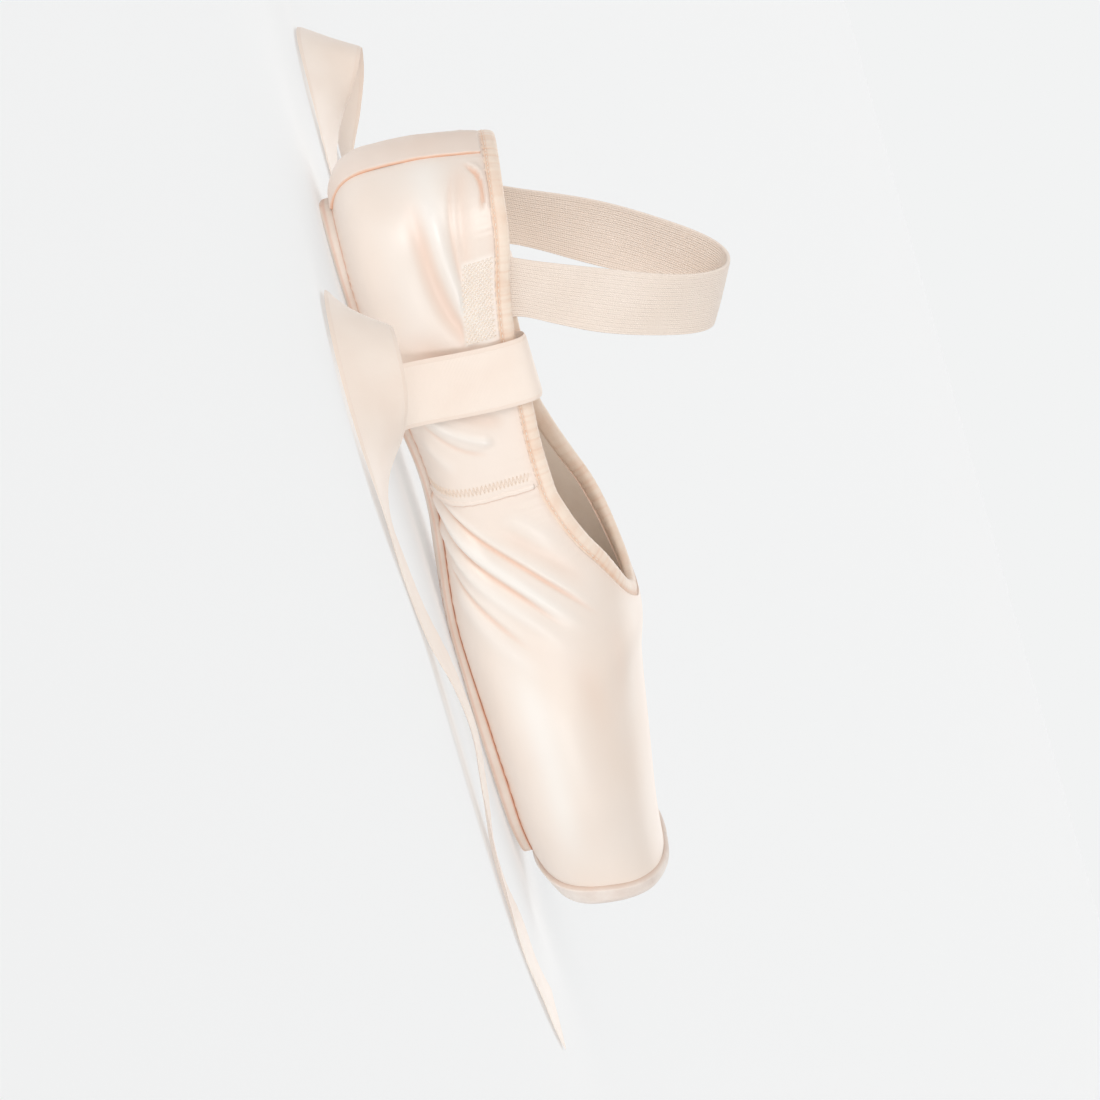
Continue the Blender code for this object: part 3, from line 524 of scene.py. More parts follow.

# creases: kind, height and width in mm, fade at the start and the end, run as (along, height over the floor)
# in mm; along is measured on the middle of the side and goes on round the heel, to -138 at its back
# the gleams are bands of painted highlight, with no relief
creases = {
    "outer": [
        # quarter, heel to seam
        ("fold", 0.55, 1.1, 0.30, 0.30, [(-128, 43), (-122, 46.5), (-114, 47), (-108, 45)]),
        ("trough", 0.40, 2.6, 0.25, 0.15, [(-131, 44), (-120, 41), (-106, 38), (-90, 35.5), (-80, 36)]),
        ("line", 0.22, 0.8, 0.30, 0.20, [(-126, 40), (-112, 36.5), (-98, 34.5), (-84, 34.5)]),
        ("ridge", 0.85, 2.4, 0.35, 0.08, [(-118, 31), (-105, 31), (-92, 31.5), (-80, 33), (-70, 37)]),
        ("trough", 0.75, 2.8, 0.35, 0.10, [(-122, 26), (-108, 26.3), (-94, 26.5), (-80, 28.5), (-67, 34)]),
        ("ridge", 0.35, 4.5, 0.40, 0.40, [(-120, 18), (-104, 19), (-88, 19), (-74, 22)]),
        ("paintedGleam", 0.70, 5.5, 0.35, 0.45, [(-136, 31), (-126, 32), (-114, 31.5), (-100, 31)]),
        ("trough", 0.45, 5.0, 0.40, 0.30, [(-80, 12), (-71, 19), (-64, 27), (-61, 35)]),
        ("trough", 0.40, 2.4, 0.35, 0.20, [(-58, 14), (-51, 21), (-46, 28), (-43, 35)]),
        ("ridge", 0.70, 1.6, 0.35, 0.15, [(-54, 11.5), (-46, 17), (-41, 23.5), (-37.5, 30.5)]),
        ("line", 0.25, 0.9, 0.35, 0.25, [(-51, 10), (-43, 15), (-37.5, 21), (-34.5, 28)]),
        ("ridge", 0.30, 1.8, 0.30, 0.30, [(-44, 9.5), (-37, 13), (-31, 18)]),
        # vamp wing, from the foot of the seam
        ("line", 0.50, 0.9, 0.04, 0.35, [(-23, 8.5), (-16, 13), (-7, 20), (4, 29.5), (16, 39), (26, 45)]),
        ("ridge", 0.80, 1.9, 0.06, 0.35, [(-21, 7.5), (-13, 11), (-4, 17.5), (8, 27), (20, 36), (30, 42)]),
        ("line", 0.48, 1.0, 0.05, 0.35, [(-14, 7.5), (-7, 11.5), (1, 17.5), (12, 26.5), (24, 35)]),
        ("ridge", 0.65, 2.2, 0.10, 0.40, [(-10, 7), (-1, 11.5), (9, 18.5), (21, 28), (32, 35)]),
        ("line", 0.34, 1.1, 0.08, 0.45, [(1, 7), (8, 10.5), (17, 16.5), (28, 24)]),
        ("ridge", 0.40, 2.8, 0.15, 0.45, [(6, 6.5), (15, 11), (26, 18), (38, 26)]),
        ("trough", 0.32, 2.2, 0.30, 0.40, [(-14, 22), (-6, 29), (5, 38), (15, 45)]),
        ("ridge", 0.30, 2.6, 0.30, 0.40, [(-17, 25), (-9, 33), (0, 40)]),
        ("trough", 0.18, 3.4, 0.30, 0.50, [(26, 46), (37, 47), (50, 44), (60, 39)]),
        ("ridge", 0.30, 5.0, 0.40, 0.50, [(34, 22), (52, 25), (72, 25), (92, 24)]),
        ("paintedGleam", 0.72, 4.6, 0.30, 0.40, [(18, 15), (32, 17.5), (50, 18.5), (72, 18), (94, 17), (114, 16)]),
        ("trough", 0.18, 3.8, 0.40, 0.50, [(30, 33), (46, 37), (64, 37)]),
    ],
    "inner": [
        # quieter
        ("fold", 0.35, 1.2, 0.35, 0.35, [(-122, 42), (-115, 45.5), (-107, 45)]),
        ("ridge", 0.65, 2.8, 0.35, 0.15, [(-116, 30), (-100, 30.5), (-86, 32), (-74, 36)]),
        ("trough", 0.60, 3.0, 0.35, 0.15, [(-120, 24), (-102, 24.5), (-86, 26), (-70, 32)]),
        ("ridge", 0.50, 2.0, 0.35, 0.20, [(-60, 12), (-50, 18), (-43, 26), (-39, 33)]),
        ("trough", 0.42, 2.4, 0.35, 0.20, [(-66, 14), (-56, 20), (-49, 28)]),
        ("line", 0.36, 1.0, 0.12, 0.45, [(-23, 8.5), (-15, 13.5), (-5, 21), (6, 30), (18, 39)]),
        ("ridge", 0.62, 2.0, 0.14, 0.40, [(-20, 7.5), (-12, 11.5), (-2, 18.5), (10, 28), (22, 36)]),
        ("line", 0.32, 1.1, 0.12, 0.45, [(-12, 7.5), (-4, 12), (5, 19), (16, 28)]),
        ("ridge", 0.46, 2.4, 0.15, 0.45, [(-7, 7), (2, 12), (13, 20), (25, 28)]),
        ("line", 0.24, 1.2, 0.15, 0.50, [(4, 7), (12, 11.5), (22, 18)]),
        ("ridge", 0.34, 2.6, 0.20, 0.50, [(10, 7), (19, 12.5), (30, 19)]),
        ("ridge", 0.30, 4.5, 0.40, 0.50, [(34, 20), (54, 23), (76, 23)]),
        ("paintedGleam", 0.55, 5.0, 0.35, 0.45, [(22, 16), (46, 18.5), (72, 18), (104, 17)]),
        ("paintedGleam", 0.50, 5.5, 0.35, 0.45, [(-136, 31), (-124, 32), (-110, 31)]),
    ],
}
# what a kind does: its share of the height, how far aside and how wide, both in widths; shade is painted shade
# in the hollows, light is painted highlight on and beside the ridges
creaseKinds = {
    "ridge": [("lift", 1.0, 0.0, 1.0), ("shade", -0.25, 0.0, 1.0), ("light", 0.95, 0.0, 1.0)],
    "paintedGleam": [("light", 1.0, 0.0, 1.0)],
    "trough": [("lift", -1.0, 0.0, 1.0), ("shade", 0.45, 0.0, 1.0)],
    "line": [
        ("lift", -1.0, 0.0, 1.0), ("lift", 0.55, 1.6, 1.2), ("light", 0.8, 2.0, 1.3),
        ("shade", 1.15, 0.0, 0.75),
    ],
    "fold": [("lift", 1.0, 0.7, 1.0), ("lift", -1.0, -0.5, 0.6), ("shade", 1.2, -0.5, 0.6)],
}
# painted shade and painted highlight are the most that creases give
creaseLook = {"depth": 1.55, "step": 3.0, "reach": 0.004, "shade": 1.6, "light": 0.85}


def creasePath(side, run):
    path = []
    for along, height, _ in evenCurve([(*spot, 0.0) for spot in run], creaseLook["step"]):
        rib = ribAlong(along / mmPerMetre)
        path.append(place(rib, angleAtHeight(rib, height / mmPerMetre)))
    return np.array(path) * (1.0, 1.0 if side == "outer" else -1.0, 1.0)


def nearPath(points, normals, path):
    # distance, signed side and share along the path for each point
    starts = runAlong(path)
    best = np.full(len(points), 1.0)
    share, across = np.zeros(len(points)), np.zeros(len(points))
    for k, start in enumerate(path[:-1]):
        run = path[k + 1] - start
        t = np.clip((points - start) @ run / (run @ run), 0.0, 1.0)
        offset = points - start - t[:, None] * run
        distance = np.linalg.norm(offset, axis=1)
        closer = distance < best
        best[closer] = distance[closer]
        share[closer] = (starts[k] + t[closer] * (starts[k + 1] - starts[k])) / starts[-1]
        sign = np.sign(np.einsum("ij,ij->i", np.cross(normals, run / np.linalg.norm(run)), offset))
        across[closer] = (sign * distance)[closer]
    return best, across, share


def applyCreases(points, normals):
    # height to move along the normal, and the painted shade in folds and painted highlight on ridges at each
    # point
    found = {key: np.zeros(len(points)) for key in ("lift", "shade", "light")}
    for side, entry in ((side, entry) for side, entries in creases.items() for entry in entries):
        kind, height, width, startFade, endFade, run = entry
        path = creasePath(side, run)
        reach = width * creaseLook["reach"]
        inside = np.all((points > path.min(axis=0) - reach) & (points < path.max(axis=0) + reach), axis=1)
        near = np.flatnonzero(inside)
        if len(near) == 0:
            continue
        distance, across, share = nearPath(points[near], normals[near], path)
        fade = easeAll(share / startFade) * easeAll((1.0 - share) / endFade)
        w = width / mmPerMetre
        for key, part, aside, wide in creaseKinds[kind]:
            offset = across - aside * w if aside else distance
            found[key][near] += part * height * np.exp(-((offset / (wide * w)) ** 2)) * fade
    lift = found["lift"] * creaseLook["depth"] / mmPerMetre
    most = {key: np.clip(found[key], 0.0, creaseLook[key]) for key in ("shade", "light")}
    return lift, most["shade"], most["light"]


# the dense stitching that holds the elastic, under the binding; light is the painted light that lifts the shade
# between its stitches
strapSew = {
    "from": -0.0945, "to": -0.0705, "deep": 0.0095, "pitch": 0.00080, "rows": 7, "rowStep": 0.00125,
    "top": 0.0009, "length": 0.74, "slant": 0.0004, "thick": 0.00042, "rise": 0.00008,
    "press": 0.00012, "flatten": 0.85, "light": 0.6,
}
# heights of the gathers and waves in mm, how far they reach, and the colour along the edges: painted shade
# under the binding, and at the sole the satin's glue stain with painted shade
pucker = {
    "collar": 0.22, "sole": 0.15, "drape": 0.20, "collarReach": 0.0042, "soleReach": 0.0050,
    "collarShade": 0.22, "soleStainAndShade": 0.75, "shadeReach": 0.0014,
}


def softWaves(points, run, toCollar, toSole):
    # small gathers under the binding and at the sole's edge, and a slow unevenness of the cloth
    gathers = np.sin(run * 2100.0 + 1.7 * np.sin(run * 430.0)) * 0.6 + np.sin(run * 3700.0 + 0.9) * 0.4
    patches = 0.55 + 0.45 * np.sin(run * 71.0 + 0.6) * np.sin(run * 167.0 + 2.0)
    patches *= np.exp(-toCollar / pucker["collarReach"]) * easeAll((throat - run) / 0.012)
    pleats = np.sin(run * 1350.0 + 2.0 * np.sin(run * 210.0) + 0.4) * (0.6 + 0.4 * np.sin(run * 113.0))
    pleats *= np.exp(-toSole / pucker["soleReach"])
    x, y, z = points.T
    slow = np.sin(x * 160.0 + z * 95.0) * np.sin(z * 210.0 - x * 60.0 + np.sign(y) * 0.8)
    slow *= easeAll((0.03 - x) / 0.05) * pucker["drape"]
    return (pucker["collar"] * gathers * patches + pucker["sole"] * pleats + slow) / mmPerMetre


def strapPatch(run, toCollar):
    # 1 where the elastic is sewn on, 0 away from it
    inside = easeAll((run - strapSew["from"] + 0.002) / 0.002) * easeAll((strapSew["to"] + 0.002 - run) / 0.002)
    return inside * easeAll((strapSew["deep"] + 0.0015 - toCollar) / 0.0015)


def leaned(rib, angle):
    # ribs near the side seam lean with it
    if rib[1] < up:
        return rib
    near = 1.0 - ease(abs(rib[0] - seamPlace) / 0.022)
    return straightRib(rib[0] + seamSlant * near * (angle - down) / (up - down))


def panelLines(alongs, count, insetAt, toe=(), rim=False):
    # rings of the last at these places, with the run along and the distances to collar and sole
    lines = []
    for along in alongs:
        rib = ribAlong(along)
        high = collarAngle(rib)
        for _ in range(2):
            high = collarAngle(leaned(rib, high))
        ring = []
        for angle in evenAngles(rib, bottomAngle(rib), high, count):
            turned = leaned(rib, angle)
            ring.append(place(turned, angle, insetAt(turned[0])))
        ring = np.array(ring)
        lengths = runAlong(ring)
        edge = soleHalf(rib[0]) if rib[1] == up else sole["heelWidth"] / 2
        reach = np.hypot(ring[:, 1], ring[:, 0] - rib[0])
        outside = np.where((reach > edge) | (ring[:, 2] > cutAt(rib[0])[2]), lengths, np.inf)
        toCollar = np.hypot(lengths[-1] - lengths, max(along - throat, 0.0))
        toSole = np.maximum(lengths - outside.min(), 0.0)
        line = [(point, along, *far) for point, *far in zip(ring, toCollar, toSole)]
        if rim:
            # the cut edge turns in over the wall's thickness
            turned = leaned(rib, high)
            lip = [place(turned, high, wallAt(turned[0]) * share) for share in (0.3, 0.65, 1.0)]
            lip = [ring[-1]] * 3 if along > throat + 1e-9 else lip
            line += [(point, along, toCollar[-1], 1.0) for point in lip]
        lines.append(line)
    for rib in toe:
        angles = [*evenAngles(rib, down, up, count), *[up] * (3 if rim else 0)]
        lines.append([(place(rib, angle, insetAt(rib[0])), rib[0], 1.0, 1.0) for angle in angles])
    return lines


def toeRibs(roundSteps, capShares):
    # round the platform's edge and in to its middle
    ribs = []
    for turn in (up * k / roundSteps for k in range(1, roundSteps + 1)):
        drawn = last["platformRound"] * (1.0 - cos(turn))
        ribs.append((toeEnd - last["platformRound"] * (1.0 - sin(turn)), up, drawn, 1.0))
    return ribs + [(toeEnd, up, last["platformRound"], share) for share in capShares]


def buildPanel(name, alongs, count, lap, toe=()):
    lines, keys = panelLines(alongs, count, lambda x: -lap, toe, rim=True), ("run", "toCollar", "toSole")
    obj = pieceFromLines(name, "upper", "satin", satinMaterial, [(lines, False)], keys)
    points, normals = readPoints(obj.data)
    run, toCollar, toSole = [takeValues(obj.data, key) for key in keys]
    lift, shade, light = applyCreases(points, normals)
    sewn = strapPatch(run, toCollar)
    beside = np.exp(-(((run - seamPlace + 0.002) / 0.0032) ** 2)) * (run < seamPlace + 0.0015)
    lift *= (1.0 - strapSew["flatten"] * sewn) * (1.0 - 0.6 * beside)
    lift += softWaves(points, run, toCollar, toSole) - strapSew["press"] * sewn
    # at the sole's edge the satin never dips away from the sole
    lift = np.where(lift < 0.0, lift * easeAll(toSole / 0.004), lift)
    raisePoints(obj.data, points, normals, lift * (easeAll(toCollar / 0.0015) * 0.75 + 0.25))
    # painted shade: less on the sewn patch, more along the sole's edge, where the glue-stained satin meets the
    # sole, and under the binding; painted highlight from the creases, with the sewn patch painted pale
    shade *= 1.0 - strapSew["flatten"] * sewn
    shade += pucker["soleStainAndShade"] * np.exp(-toSole / pucker["shadeReach"]) * (toSole < 0.5)
    shade += pucker["collarShade"] * np.exp(-toCollar / pucker["shadeReach"])
    giveValues(obj.data, "foldShade", shade)
    giveValues(obj.data, "paintedLight", np.maximum(light, strapSew["light"] * sewn))
    return obj


def panelPlaces(start, piece):
    toThroat = evenPlaces(start, throat - piece["near"], piece["step"], False)
    toThroat += throatPlaces(piece["near"], piece["nearCount"])[:-1]
    return toThroat + evenPlaces(throat, boxEnd, piece["step"])


quarter = {"lap": 0.00035, "over": 0.0004, "step": 0.00062, "rings": 120}
vamp = {"under": 0.005, "step": 0.00068, "rings": 150, "near": 0.006, "nearCount": 26}
lining = {"step": 0.0022, "rings": 46, "near": 0.026, "nearCount": 40}

quarterPlaces = evenPlaces(heelBack, seamPlace + quarter["over"], quarter["step"])
quarterPanel = buildPanel("quarterSatin", quarterPlaces, quarter["rings"], quarter["lap"])
vampPlaces = panelPlaces(seamPlace - vamp["under"], vamp)
buildPanel("vampSatin", vampPlaces, vamp["rings"], 0.0, toeRibs(4, (0.66, 0.33, 0.0)))
print("satin panels built")

liningLines = panelLines(panelPlaces(heelBack, lining), lining["rings"], wallAt, toeRibs(3, (0.6, 0.3, 0.0)))
pieceFromLines("cottonInside", "upper", "insole", cottonMaterial, [(liningLines, True)])
print("lining built")

# the fold where the quarter laps over the vamp
sideFold = {
    "width": 0.0024, "proud": 0.00085, "under": 0.0001, "up": 90,
    "shades": [0.0] * 11 + [0.25, 0.9, 1.3],  # one for each line across
}


def buildSideFold(name, node, side):
    low = angleAtReach(seamPlace, soleHalf(seamPlace) + 3 * gap)
    high = collarAngle(straightRib(seamPlace)) - 1.5 * gap / heelRadius
    angles = [low, *np.linspace(low, high, sideFold["up"]), high]
    lines = []
    for across, shade in zip(np.linspace(-1.0, 1.0, len(sideFold["shades"])), sideFold["shades"]):
        # flush on the quarter's side, a rounded lip on the toe's side
        profile = ease((across + 1.0) / 1.1) * edgeRound((across - 0.35) / 0.65)
        proud = -sideFold["under"] + sideFold["proud"] * profile
        line = []
        for k, angle in enumerate(angles):
            wobble = 0.00008 * sin(angle * 31.0) + 0.00005 * sin(angle * 67.0)
            rib = straightRib(seamAt(angle) + sideFold["width"] / 2 * across + wobble)
            inset = sideFold["under"] if k in (0, len(angles) - 1) else -proud
            line.append((place(rib, angle, inset), shade))
        lines.append(line)
    pieceFromLines(name, node, "satin", foldMaterial, [(lines, False)], ["foldShade"], [side])


buildSideFold("sideFoldOuter", "side_seam_outer", 1)
buildSideFold("sideFoldInner", "side_seam_inner", -1)

# rings of a stitch are its share of the way, height and size in half thicknesses
thread = {
    "face": paint(255, 249, 240), "seamFace": paint(250, 234, 220), "shade": paint(246, 226, 206),
    "roughness": 0.6, "sides": 6,
    "rings": ((0.0, -0.5, 0.5), (0.14, 0.35, 0.9), (0.5, 0.7, 1.0), (0.86, 0.35, 0.9), (1.0, -0.5, 0.5)),
}


def makeThread(name, face):
    finish = Finish(name, face, thread["roughness"], specular=0.35, sheen=0.3)
    twist = finish.noise(4200.0, 1.0)
    colour = finish.blend(finish.spread(twist, 0.35, 0.65), thread["shade"], face)
    return finish.done(colour, finish.bump(twist, 0.00008, 0.5))


threadMaterial = makeThread("sewingThread", thread["face"])
seamThread = makeThread("seamThread", thread["seamFace"])


def settle(stitches, cloth, rise):
    # the ends of each stitch on the cloth's own surface
    corners = [point.co for point in cloth.data.vertices]
    tree = BVHTree.FromPolygons(corners, [tuple(face.vertices) for face in cloth.data.polygons])
    return [
        (*(tree.find_nearest(point)[0] + outward * rise for point in (start, end)), outward)
        for start, end, outward in stitches
    ]


def onBothSides(stitches):
    return stitches + [(end * flip, start * flip, outward * flip) for start, end, outward in stitches]


def stitchMesh(name, stitches, thick, slotName, material=threadMaterial):
    # each stitch is (start, end, outward): a short round thread that dips into the cloth at both ends
    points, faces = [], []
    sides = range(thread["sides"])
    for start, end, outward in stitches:
        run = end - start
        side = run.cross(outward).normalized()
        rings = []
        for share, lift, size in thread["rings"]:
            middle = start + run * share + outward * (thick * 0.5 * lift)
            rings.append([len(points) + k for k in sides])
            for turn in (math.tau * k / thread["sides"] for k in sides):
                points.append(middle + (side * cos(turn) + outward * sin(turn)) * (thick / 2 * size))
        for near, far in zip(rings, rings[1:]):
            faces += [(near[k], near[after], far[after], far[k]) for k, after in zip(sides, [*sides[1:], 0])]
        faces += [rings[0], rings[-1][::-1]]
    addPiece(name, slotName, material, points, faces)


zigzag = {
    "back": 0.0031, "wide": 0.0026, "thick": 0.00024, "rise": 0.00006, "count": 30, "fromSole": 0.003,
    "fromTop": 0.04, "pairs": (((-1, 0.0), (1, 0.42)), ((1, 0.5), (-1, 0.92))),  # side and share of a step
}


def zigzagStitches():
    seamRib = straightRib(seamPlace)
    low = angleAtReach(seamPlace, soleHalf(seamPlace) + zigzag["fromSole"])
    angles = evenAngles(seamRib, low, collarAngle(seamRib) - zigzag["fromTop"], zigzag["count"]).tolist()
    found = []
    for angle, after in zip(angles, angles[1:]):
        for pair in zigzag["pairs"]:
            ends = []
            for side, share in pair:
                turned = angle + (after - angle) * share
                x = seamAt(turned) - zigzag["back"] + side * zigzag["wide"] / 2
                ends.append(Vector(place(straightRib(x), turned, -quarter["lap"])))
            found.append((*ends, outwardAt(seamRib, angle)))
    return found


def strapSewing():
    found = []
    for k, x in enumerate(evenPlaces(strapSew["from"], strapSew["to"], strapSew["pitch"])):
        rib = ribAlong(x)
        top = collarAngle(rib)
        angles = np.linspace(top, top - 0.8, 60)
        drops = runAlong([place(rib, angle) for angle in angles.tolist()])
        for row in range(strapSew["rows"]):
            drop = strapSew["top"] + row * strapSew["rowStep"] + (k % 2) * strapSew["rowStep"] / 2
            ends = []
            for share in (0.0, strapSew["length"]):
                angle = float(np.interp(drop + share * strapSew["rowStep"], drops, angles))
                slanted = ribAlong(x + strapSew["slant"] * (share - 0.3))
                ends.append(Vector(place(slanted, angle, -quarter["lap"])))
            found.append((*ends, outwardAt(rib, float(np.interp(drop, drops, angles)))))
    return found


sideStitches = settle(onBothSides(zigzagStitches()), quarterPanel, zigzag["rise"])
stitchMesh("sideStitches", sideStitches, zigzag["thick"], "satin", seamThread)
strapStitches = settle(onBothSides(strapSewing()), quarterPanel, strapSew["rise"])
stitchMesh("strapStitches", strapStitches, strapSew["thick"], "satin")
print("seams and stitches built")

heelStrip = {"width": 0.015, "proud": 0.00115, "edge": 0.0003, "across": 30, "up": 90}


def buildHeelStrip():
    halfTurn = math.asin(heelStrip["width"] / 2 / heelRadius)
    proud, edgeProud = heelStrip["proud"], heelStrip["edge"]
    lines = []
    for share in np.linspace(0.0, 1.0, heelStrip["across"]).tolist():
        rib = fanRib(halfTurn * share)
        low = angleAtReach(rib[0], heelCentre - soleHeelEnd + 2 * gap)
        high = collarAngle(rib) - gap / heelRadius * 1.5
        edge = edgeRound((share - 0.93) / 0.07)
        line = [place(rib, low)]  # both ends turn in to the quarter
        for j, angle in enumerate(evenAngles(rib, low, high, heelStrip["up"])):
            soft = 0.00007 * sin(j * 0.21 + share * 2.0) + 0.00005 * sin(j * 0.47)
            line.append(place(rib, angle, -edgeProud - (proud - edgeProud + soft) * edge))
        line += [place(rib, high, -proud * 0.6 * edge), place(rib, high)]
        lines.append([(point, 0.10 + max((share - 0.94) / 0.06, 0.0)) for point in line])
    pieceFromLines("heelStripSatin", "heel_strip", "satin", foldMaterial, [(lines, False)], ["foldShade"])


buildHeelStrip()

suede = {
    "face": paint(244, 232, 223), "dark": paint(236, 221, 211), "pale": paint(248, 238, 230),
    "edge": paint(205, 172, 150), "edgeShade": 0.7, "edgeWide": 0.0005, "proud": 0.00115, "edgeProud": 0.00002,
    "edgeRound": 0.0009, "sweep": 64, "rings": 96,
}


def makeSuede():
    finish = Finish("toeSuede", suede["face"], 0.95, specular=0.15, sheen=0.45, sheenRough=0.5)
    brushed = finish.noise(130.0, 4.0, 0.6)
    nap = finish.noise(2400.0, 3.0, 0.7, (1.0, 1.0, 0.6))
    mottled = finish.blend(finish.spread(brushed, 0.35, 0.68), suede["dark"], suede["pale"])
    speckled = finish.blend(finish.spread(nap, 0.35, 0.65, 0.0, 0.30), mottled, suede["face"])
    colour = finish.blend(finish.attribute("edgeShade"), speckled, suede["edge"])
    return finish.done(colour, finish.bump(nap, 0.00022, 0.65, finish.bump(brushed, 0.0003, 0.12)))


def buildToeSuede():
    # from a point at the sole's corner the rings widen to the whole platform
    start, rings = soleTip + 2 * gap, suede["rings"]
    firstAngle = angleAtReach(start, sole["tipWidth"] / 2)
    lines = []
    for k in range(suede["sweep"] + 1):
        swept = k / suede["sweep"]
        x = start + (boxEnd - start) * swept ** (1.0 / 3.0)
        rib = straightRib(x)
        angles = evenAngles(rib, down, firstAngle + (up - firstAngle) * swept, rings)
        lengths = runAlong([place(rib, angle) for angle in angles])
        line = []
        for angle, length in zip(angles, lengths):
            fromEdge = min((lengths[-1] - length) * 0.75, x - start) if swept < 1.0 else (up - angle) * 0.02
            proud = (suede["proud"] - suede["edgeProud"]) * edgeRound(1.0 - fromEdge / suede["edgeRound"])
            shade = max(0.0, 1.0 - fromEdge / suede["edgeWide"]) * suede["edgeShade"]
            line.append((place(rib, angle, -suede["edgeProud"] - proud), shade))
        lines.append(line)
    for rib in toeRibs(8, (0.85, 0.7, 0.55, 0.4, 0.2, 0.0)):
        angles = evenAngles(rib, down, up, rings) if rib[3] > 0 else np.linspace(down, up, rings + 1)
        lines.append([(place(rib, angle, -suede["proud"]), 0.0) for angle in angles])
    obj = pieceFromLines("toeSuedeCap", "toe_suede", "suede", makeSuede(), [(lines, False)], ["edgeShade"])
    points, normals = readPoints(obj.data)
    _, y, z = points.T
    uneven = 0.00007 * np.sin(y * 330.0 + z * 210.0) * np.sin(z * 380.0 - y * 120.0)
    raisePoints(obj.data, points, normals, uneven)


buildToeSuede()
print("heel strip and toe suede built")

soleLeather = {
    "face": paint(238, 227, 217), "worn": paint(226, 210, 197), "groove": paint(206, 152, 130),
    "edge": paint(214, 142, 104), "tipRim": 0.3,
    # the scored diamonds in mm: where they start, the leather left bare inside the edge, and their pitch
    "gridFrom": 7.0, "gridMargin": 1.3, "pitchAlong": 6.4, "pitchAcross": 4.6,
    "grooveHalf": 0.035,  # share of a pitch
    "bareMiddle": 79.0, "bareSteps": ((8.8, 8.6), (6.2, 13.0)),  # half across and half along, mm
    "across": 40, "step": 0.0015, "bevel": 0.00045,
    # the side goes to the edge colour: the edge's own dye, and at the top, where the sole meets the satin,
    # painted shade as well
    "side": ((0.25, 0.05), (0.5, 0.0), (0.74, 0.05), (0.88, 0.6), (1.0, 1.0)),  # share of the height, dye
}


def makeSoleLeather():
    # diamonds scored from the waist to the tip, with a bare stepped panel in them
    finish = Finish("soleLeather", soleLeather["face"], 0.62, specular=0.3, coat=0.05, coatRough=0.5)
    maths, margin = finish.maths, soleLeather["gridMargin"]
    u, v = (finish.times(place, mmPerMetre) for place in finish.split(finish.where))
    shares = (maths("DIVIDE", u, soleLeather["pitchAlong"]), maths("DIVIDE", v, soleLeather["pitchAcross"]))
    lines = []
    for operation in ("ADD", "SUBTRACT"):
        turned = maths("FRACT", maths("ADD", maths(operation, *shares), 100.0))
        lines.append(maths("ABSOLUTE", maths("SUBTRACT", turned, 0.5)))
    half = soleLeather["grooveHalf"]
    scored = finish.spread(maths("MINIMUM", *lines), half, half * 2.2, 1.0, 0.0)
    inside = finish.spread(finish.attribute("fromEdge"), margin, margin + 0.1)
    ahead = finish.spread(u, soleLeather["gridFrom"], soleLeather["gridFrom"] + 0.1)
    aside = maths("ABSOLUTE", v)
    bare = [
        finish.times(maths("LESS_THAN", aside, across), maths("COMPARE", u, soleLeather["bareMiddle"], along))
        for across, along in soleLeather["bareSteps"]
    ]
    shown = finish.times(inside, ahead, maths("SUBTRACT", 1.0, maths("MAXIMUM", *bare)))
    groove = finish.times(scored, shown, finish.attribute("underside"))
    leather = finish.cloud(soleLeather["face"], soleLeather["worn"], 55.0, 4.0, 0.35, 0.72, rough=0.6)
    lined = finish.blend(groove, leather, soleLeather["groove"])
    # the rim's dye, with painted shade where the sole meets the satin
    colour = finish.blend(finish.attribute("rim"), lined, soleLeather["edge"])
    dents = finish.bump(finish.noise(1500.0, 3.0, 0.6), 0.00010, 0.3)
    return finish.done(colour, finish.bump(finish.times(groove, -1.0), 0.00035, 0.8, dents))


def soleStations(start, end, step):
    # close at the round heel and at the tip's corners
    flatEnd, corner = end - sole["corner"], sole["corner"]
    heel = [start + (soleHeelCentre - start) * (1.0 - cos(turn)) for turn in np.linspace(0.0, up, 22)[:-1]]
    tip = [flatEnd + corner * sin(up * k / 8) for k in range(9)]
    return heel + evenPlaces(soleHeelCentre, flatEnd, step, False) + tip


def buildOutsole():
    # each cell is a point, mm from the edge, 1 on the underside, and the rim's colour: its dye, with painted
    # shade at the top where the sole meets the satin
    across, bevel = soleLeather["across"], soleLeather["bevel"]
    lines = []

    def topAt(x, y):
        return heightUnder(x, y) - sole["touch"]

    for x in soleStations(soleHeelEnd, soleTip, soleLeather["step"]):
        half = soleHalf(x)
        line = []
        for share in np.linspace(0.0, 1.0, across).tolist():
            raised = max(share - sole["flatShare"], 0.0) / (1.0 - sole["flatShare"])
            endGap = min(half * (1.0 - share), soleTip - x)
            z = groundAt(x) + sole["edgeRise"] * raised**2 + bevel * max(0.0, 1.0 - endGap / bevel) ** 2
            dyeAndShade = 0.35 * max(0.0, 1.0 - endGap / 0.0006)
            line.append(((x, -half * share, z), endGap * mmPerMetre, 1.0, dyeAndShade))
        top = topAt(x, -half)
        for share, dyeAndShade in soleLeather["side"]:
            pull = 0.00012 * sin(math.pi * share)
            line.append(((x, -(half + pull) if half > 1e-6 else 0.0, z + (top - z) * share), 0.0, 0.0, dyeAndShade))
        for share in np.linspace(1.0, 0.0, 12)[1:].tolist():
            line.append(((x, -half * share, topAt(x, -half * share)), 0.0, 0.0, 0.0))
        lines.append(line)
    # close the tip's upright edge
    low = [cell[0] for cell in lines[-1][:across]]
    top = [(x, y, topAt(x, y)) for x, y, _ in low]
    middle = [(a[0] + 0.0001, a[1], (a[2] + b[2]) / 2) for a, b in zip(low, top)]
    tip = [[(point, 0.0, 0.0, soleLeather["tipRim"]) for point in line] for line in (low, middle, top)]
    parts, keys = [(lines, False), (tip, False)], ("fromEdge", "underside", "rim")
    pieceFromLines("outsoleLeather", "outsole", "sole_leather", makeSoleLeather(), parts, keys)


buildOutsole()

insole = {"thick": 0.0015, "margin": 0.0005, "lift": 0.0009, "round": 0.0012, "step": 0.0024, "across": 22}


